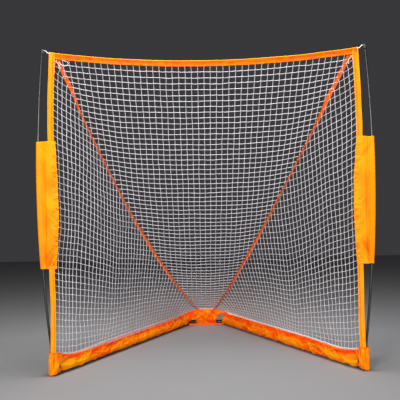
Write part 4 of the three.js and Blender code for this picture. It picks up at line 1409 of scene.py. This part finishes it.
def rear_strap():
    """Narrow webbing between the skirts' rear ends."""
    low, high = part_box("rear_strap")
    length = high[0] - low[0]

    def place(u, v):
        x = blend(low[0], high[0], u)
        sag = 0.0014 * math.sin(3.0 * math.pi * u)
        y = (low[1] + high[1]) / 2 - 0.0015 * math.sin(2 * math.pi * u)
        return Vector((x, y, blend(low[2], high[2], v) + sag)), 0.5

    bm = cloth_grid((length, high[2] - low[2]), (60, 4), place)
    piece = finished("rear_strap_webbing", bm, finish("webbing"))
    thicken(piece, WEBBING_WALL)
    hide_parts("rear_strap")


# Poles and rear bar


def pole(side_name):
    side = SIDES[side_name]
    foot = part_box(f"pole_lower_{side_name}")[0][2]
    steps = 60
    bm = bmesh.new()
    round_rod(bm, [
        (pole_point(blend(foot, POLE_TOP_Z, i / steps), side), POLE_RADIUS) for i in range(steps + 1)
    ])
    piece = finished(f"{side_name}_pole", bm, finish("resin"))
    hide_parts(*(f"pole_{part}_{side_name}" for part in ("lower", "middle", "upper")))
    for label, joint in zip(("lower", "upper"), POLE_JOINTS):
        bm = bmesh.new()
        wall = POLE_RADIUS + FERRULE_WALL
        rim = -0.0006
        even = [(blend(-0.985, 0.985, i / 8), 0.0) for i in range(9)]
        round_rod(bm, [
            (pole_point(joint + FERRULE_HALF * at, side), wall + change)
            for at, change in [(-1.0, rim), *even, (1.0, rim)]
        ])
        piece = finished(f"{side_name}_ferrule_{label}", bm, finish("bright_steel"))
        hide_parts(f"ferrule_{label}_{side_name}")
    pole_cap(side_name)


def pole_cap(side_name):
    """Moulded cap on the pole's tip, with a rolled lip and a domed end."""
    side = SIDES[side_name]
    low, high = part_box(f"pole_tip_{side_name}")
    shares = (
        (0.0, 0.93), (0.02, 1.03), (0.08, 1.06), (0.14, 1.03), (0.17, 0.97), (0.62, 0.95),
        (0.72, 0.93), (0.80, 0.86), (0.88, 0.72), (0.94, 0.52), (0.98, 0.28), (1.0, 0.04),
    )
    radius = POLE_RADIUS + 0.0023
    bm = bmesh.new()
    round_rod(bm, [
        (pole_point(blend(low[2], high[2], up), side), radius * wide) for up, wide in shares
    ])
    piece = finished(f"{side_name}_pole_cap", bm, finish("rubber"))
    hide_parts(f"pole_tip_{side_name}")


def rear_bar():
    """The bent tube across the rear, between its two joints with the rails."""
    along = Vector((REAR_CORNER_X - RAIL_FRONT_X, REAR_BAR_Y - MOUTH_Y, 0)).normalized()
    corner = Vector((REAR_CORNER_X, REAR_BAR_Y, RAIL_Z))
    bend = math.acos(-along.x)
    tangent = ELBOW_BEND_RADIUS * math.tan(bend / 2)
    begin = corner - along * tangent
    inward = Vector((-along.y, along.x, 0))
    centre = begin + inward * ELBOW_BEND_RADIUS
    half = [begin - along * (ELBOW_LEG - 0.001), begin - along * (ELBOW_LEG - 0.009)]
    steps = 14
    for i in range(steps + 1):
        turn = Matrix.Rotation(bend * i / steps, 3, "Z")
        half.append(centre - turn @ inward * ELBOW_BEND_RADIUS)
    mirrored = [Vector((-p.x, p.y, p.z)) for p in reversed(half)]
    points = half + mirrored
    radii = [RAIL_RADIUS] * len(points)
    radii[0] = radii[-1] = RAIL_RADIUS - 0.0008
    bm = bmesh.new()
    round_rod(bm, list(zip(points, radii)), 32)
    piece = finished("rear_bar", bm, finish("coated_steel"))
    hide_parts("rear_elbow_tube")


# Stage


# The fitted camera: lens in mm, place from the mouth's middle in metres, turns in degrees
CAMERA_LENS = 48.7
CAMERA_X, CAMERA_DISTANCE, CAMERA_HEIGHT = -0.038, 3.30, 0.83
CAMERA_UP, CAMERA_ROLL = 3.7, -1.0

# Soft lamps: name, place, aim, size in metres, power in watts and tint
LAMPS = (
    ("key", (-2.6, -6.4, 2.4), (0, -0.3, 0.7), (1.6, 1.3), 345, (1.0, 0.97, 0.93)),
    ("fill", (3.4, -5.8, 1.7), (0, -0.3, 0.7), (2.4, 2.0), 190, (0.98, 0.98, 1.0)),
    ("top", (0.0, -0.9, 3.2), (0, 0.9, 0.1), (1.6, 1.2), 90, (1.0, 1.0, 1.0)),
)


def camera():
    data = bpy.data.cameras.new("camera")
    data.sensor_width = 36.0
    data.lens = CAMERA_LENS
    data.clip_end = 100.0
    holder = bpy.data.objects.new("camera", data)
    at = Vector((CAMERA_X, MOUTH_Y - CAMERA_DISTANCE, CAMERA_HEIGHT))
    pitch = Matrix.Rotation(math.radians(90 + CAMERA_UP), 4, "X")
    roll = Matrix.Rotation(math.radians(CAMERA_ROLL), 4, "Z")
    holder.matrix_world = Matrix.Translation(at) @ pitch @ roll
    bpy.context.scene.collection.objects.link(holder)
    bpy.context.scene.camera = holder


def area_light(name, at, aim, size, power, tint):
    data = bpy.data.lights.new(name, "AREA")
    data.shape = "RECTANGLE"
    data.size, data.size_y = size
    data.energy = power
    data.color = tint
    holder = bpy.data.objects.new(name, data)
    holder.location = at
    holder.rotation_euler = (Vector(aim) - Vector(at)).to_track_quat("-Z", "Y").to_euler()
    bpy.context.scene.collection.objects.link(holder)


def studio():
    width = sizes().floor
    bm = bmesh.new()
    bmesh.ops.create_grid(bm, x_segments=1, y_segments=1, size=width / 2)
    floor = bpy.data.meshes.new("studio_floor")
    bm.to_mesh(floor)
    bm.free()
    floor.materials.append(finish("floor"))
    piece = bpy.data.objects.new("studio_floor", floor)
    bpy.context.scene.collection.objects.link(piece)
    bpy.context.scene.view_settings.view_transform = "Standard"
    world = bpy.context.scene.world = bpy.data.worlds.new("studio")
    world.use_nodes = True
    background = world.node_tree.nodes["Background"].inputs
    background["Color"].default_value = colour("backdrop")
    background["Strength"].default_value = 1.0
    for lamp in LAMPS:
        area_light(*lamp)


class GOAL_OT_stage(bpy.types.Operator):
    """Camera, floor and soft lights"""

    bl_idname = "goal.stage"
    bl_label = "Stage"

    def execute(self, context):
        camera()
        studio()
        return {"FINISHED"}


class GOAL_OT_corner_cords(bpy.types.Operator):
    """White elastic cords from the hem's corners to the poles' tips"""

    bl_idname = "goal.corner_cords"
    bl_label = "Corner cords"

    def execute(self, context):
        for side_name in SIDES:
            piece, line, length = corner_cord(side_name)
            tuple(line[0])
            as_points(line)
        return {"FINISHED"}


class GOAL_OT_nets(bpy.types.Operator):
    """Knotted square mesh: the back net and the two side nets"""

    bl_idname = "goal.nets"
    bl_label = "Nets"

    def execute(self, context):
        back_net()
        for side_name in SIDES:
            side_net(side_name)
            border_lacing(side_name)
        return {"FINISHED"}


class GOAL_OT_hems(bpy.types.Operator):
    """Folded and stitched hems round the mouth"""

    bl_idname = "goal.hems"
    bl_label = "Hems"

    def execute(self, context):
        top_hem()
        for side_name in SIDES:
            side_hem(side_name)
        return {"FINISHED"}


class GOAL_OT_seam_tapes(bpy.types.Operator):
    """Webbing over the seams of the net"""

    bl_idname = "goal.seam_tapes"
    bl_label = "Seam tapes"

    def execute(self, context):
        for side_name in SIDES:
            seam_tape(side_name)
        return {"FINISHED"}


class GOAL_OT_poles(bpy.types.Operator):
    """Bowed rods with their ferrules and caps, and the rear bar"""

    bl_idname = "goal.poles"
    bl_label = "Poles and rear bar"

    def execute(self, context):
        for side_name in SIDES:
            pole(side_name)
        rear_bar()
        return {"FINISHED"}


class GOAL_OT_side_pockets(bpy.types.Operator):
    """Cloth sleeves that hold the poles to the side hems"""

    bl_idname = "goal.side_pockets"
    bl_label = "Side pockets"

    def execute(self, context):
        for side_name in SIDES:
            side_pocket(side_name)
        return {"FINISHED"}


class GOAL_OT_skirts(bpy.types.Operator):
    """Crumpled cloth over the base rails, the rear flap and its strap"""

    bl_idname = "goal.skirts"
    bl_label = "Skirts and rear flap"

    def execute(self, context):
        for side_name in SIDES:
            skirt(side_name)
        rear_flap()
        rear_strap()
        return {"FINISHED"}


class GOAL_OT_boots(bpy.types.Operator):
    """Cloth boots round the front corners"""

    bl_idname = "goal.boots"
    bl_label = "Corner boots"

    def execute(self, context):
        for side_name in SIDES:
            corner_boot(side_name)
        return {"FINISHED"}


class GOAL_OT_metal(bpy.types.Operator):
    """Finishes of the steel base, lock buttons, springs and eyelets"""

    bl_idname = "goal.metal"
    bl_label = "Metal finishes"

    def execute(self, context):
        for name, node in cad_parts.items():
            for start, kind in CAD_FINISHES.items():
                if name.startswith(start):
                    for slot in node.material_slots:
                        slot.material = finish(kind)
        return {"FINISHED"}


class GOAL_PT_panel(bpy.types.Panel):
    """Buttons for each group of pieces"""

    bl_idname = "GOAL_PT_panel"
    bl_label = "Goal"
    bl_space_type = "VIEW_3D"
    bl_region_type = "UI"
    bl_category = "Goal"

    def draw(self, context):
        for operator in OPERATORS:
            self.layout.operator(operator.bl_idname)


OPERATORS = (
    GOAL_OT_stage, GOAL_OT_corner_cords, GOAL_OT_nets, GOAL_OT_hems, GOAL_OT_seam_tapes,
    GOAL_OT_poles, GOAL_OT_side_pockets, GOAL_OT_skirts, GOAL_OT_boots, GOAL_OT_metal,
)
CLASSES = (GoalSizes, GoalColours, *OPERATORS, GOAL_PT_panel)


def register():
    for entry in CLASSES:
        bpy.utils.register_class(entry)
    bpy.types.Scene.goal_sizes = bpy.props.PointerProperty(type=GoalSizes)
    bpy.types.Scene.goal_colours = bpy.props.PointerProperty(type=GoalColours)


def unregister():
    del bpy.types.Scene.goal_sizes
    del bpy.types.Scene.goal_colours
    for entry in reversed(CLASSES):
        bpy.utils.unregister_class(entry)


def main():
    register()
    for operator in OPERATORS:
        family, label = operator.bl_idname.split(".")
        getattr(getattr(bpy.ops, family), label)()


if __name__ == "__main__":
    main()
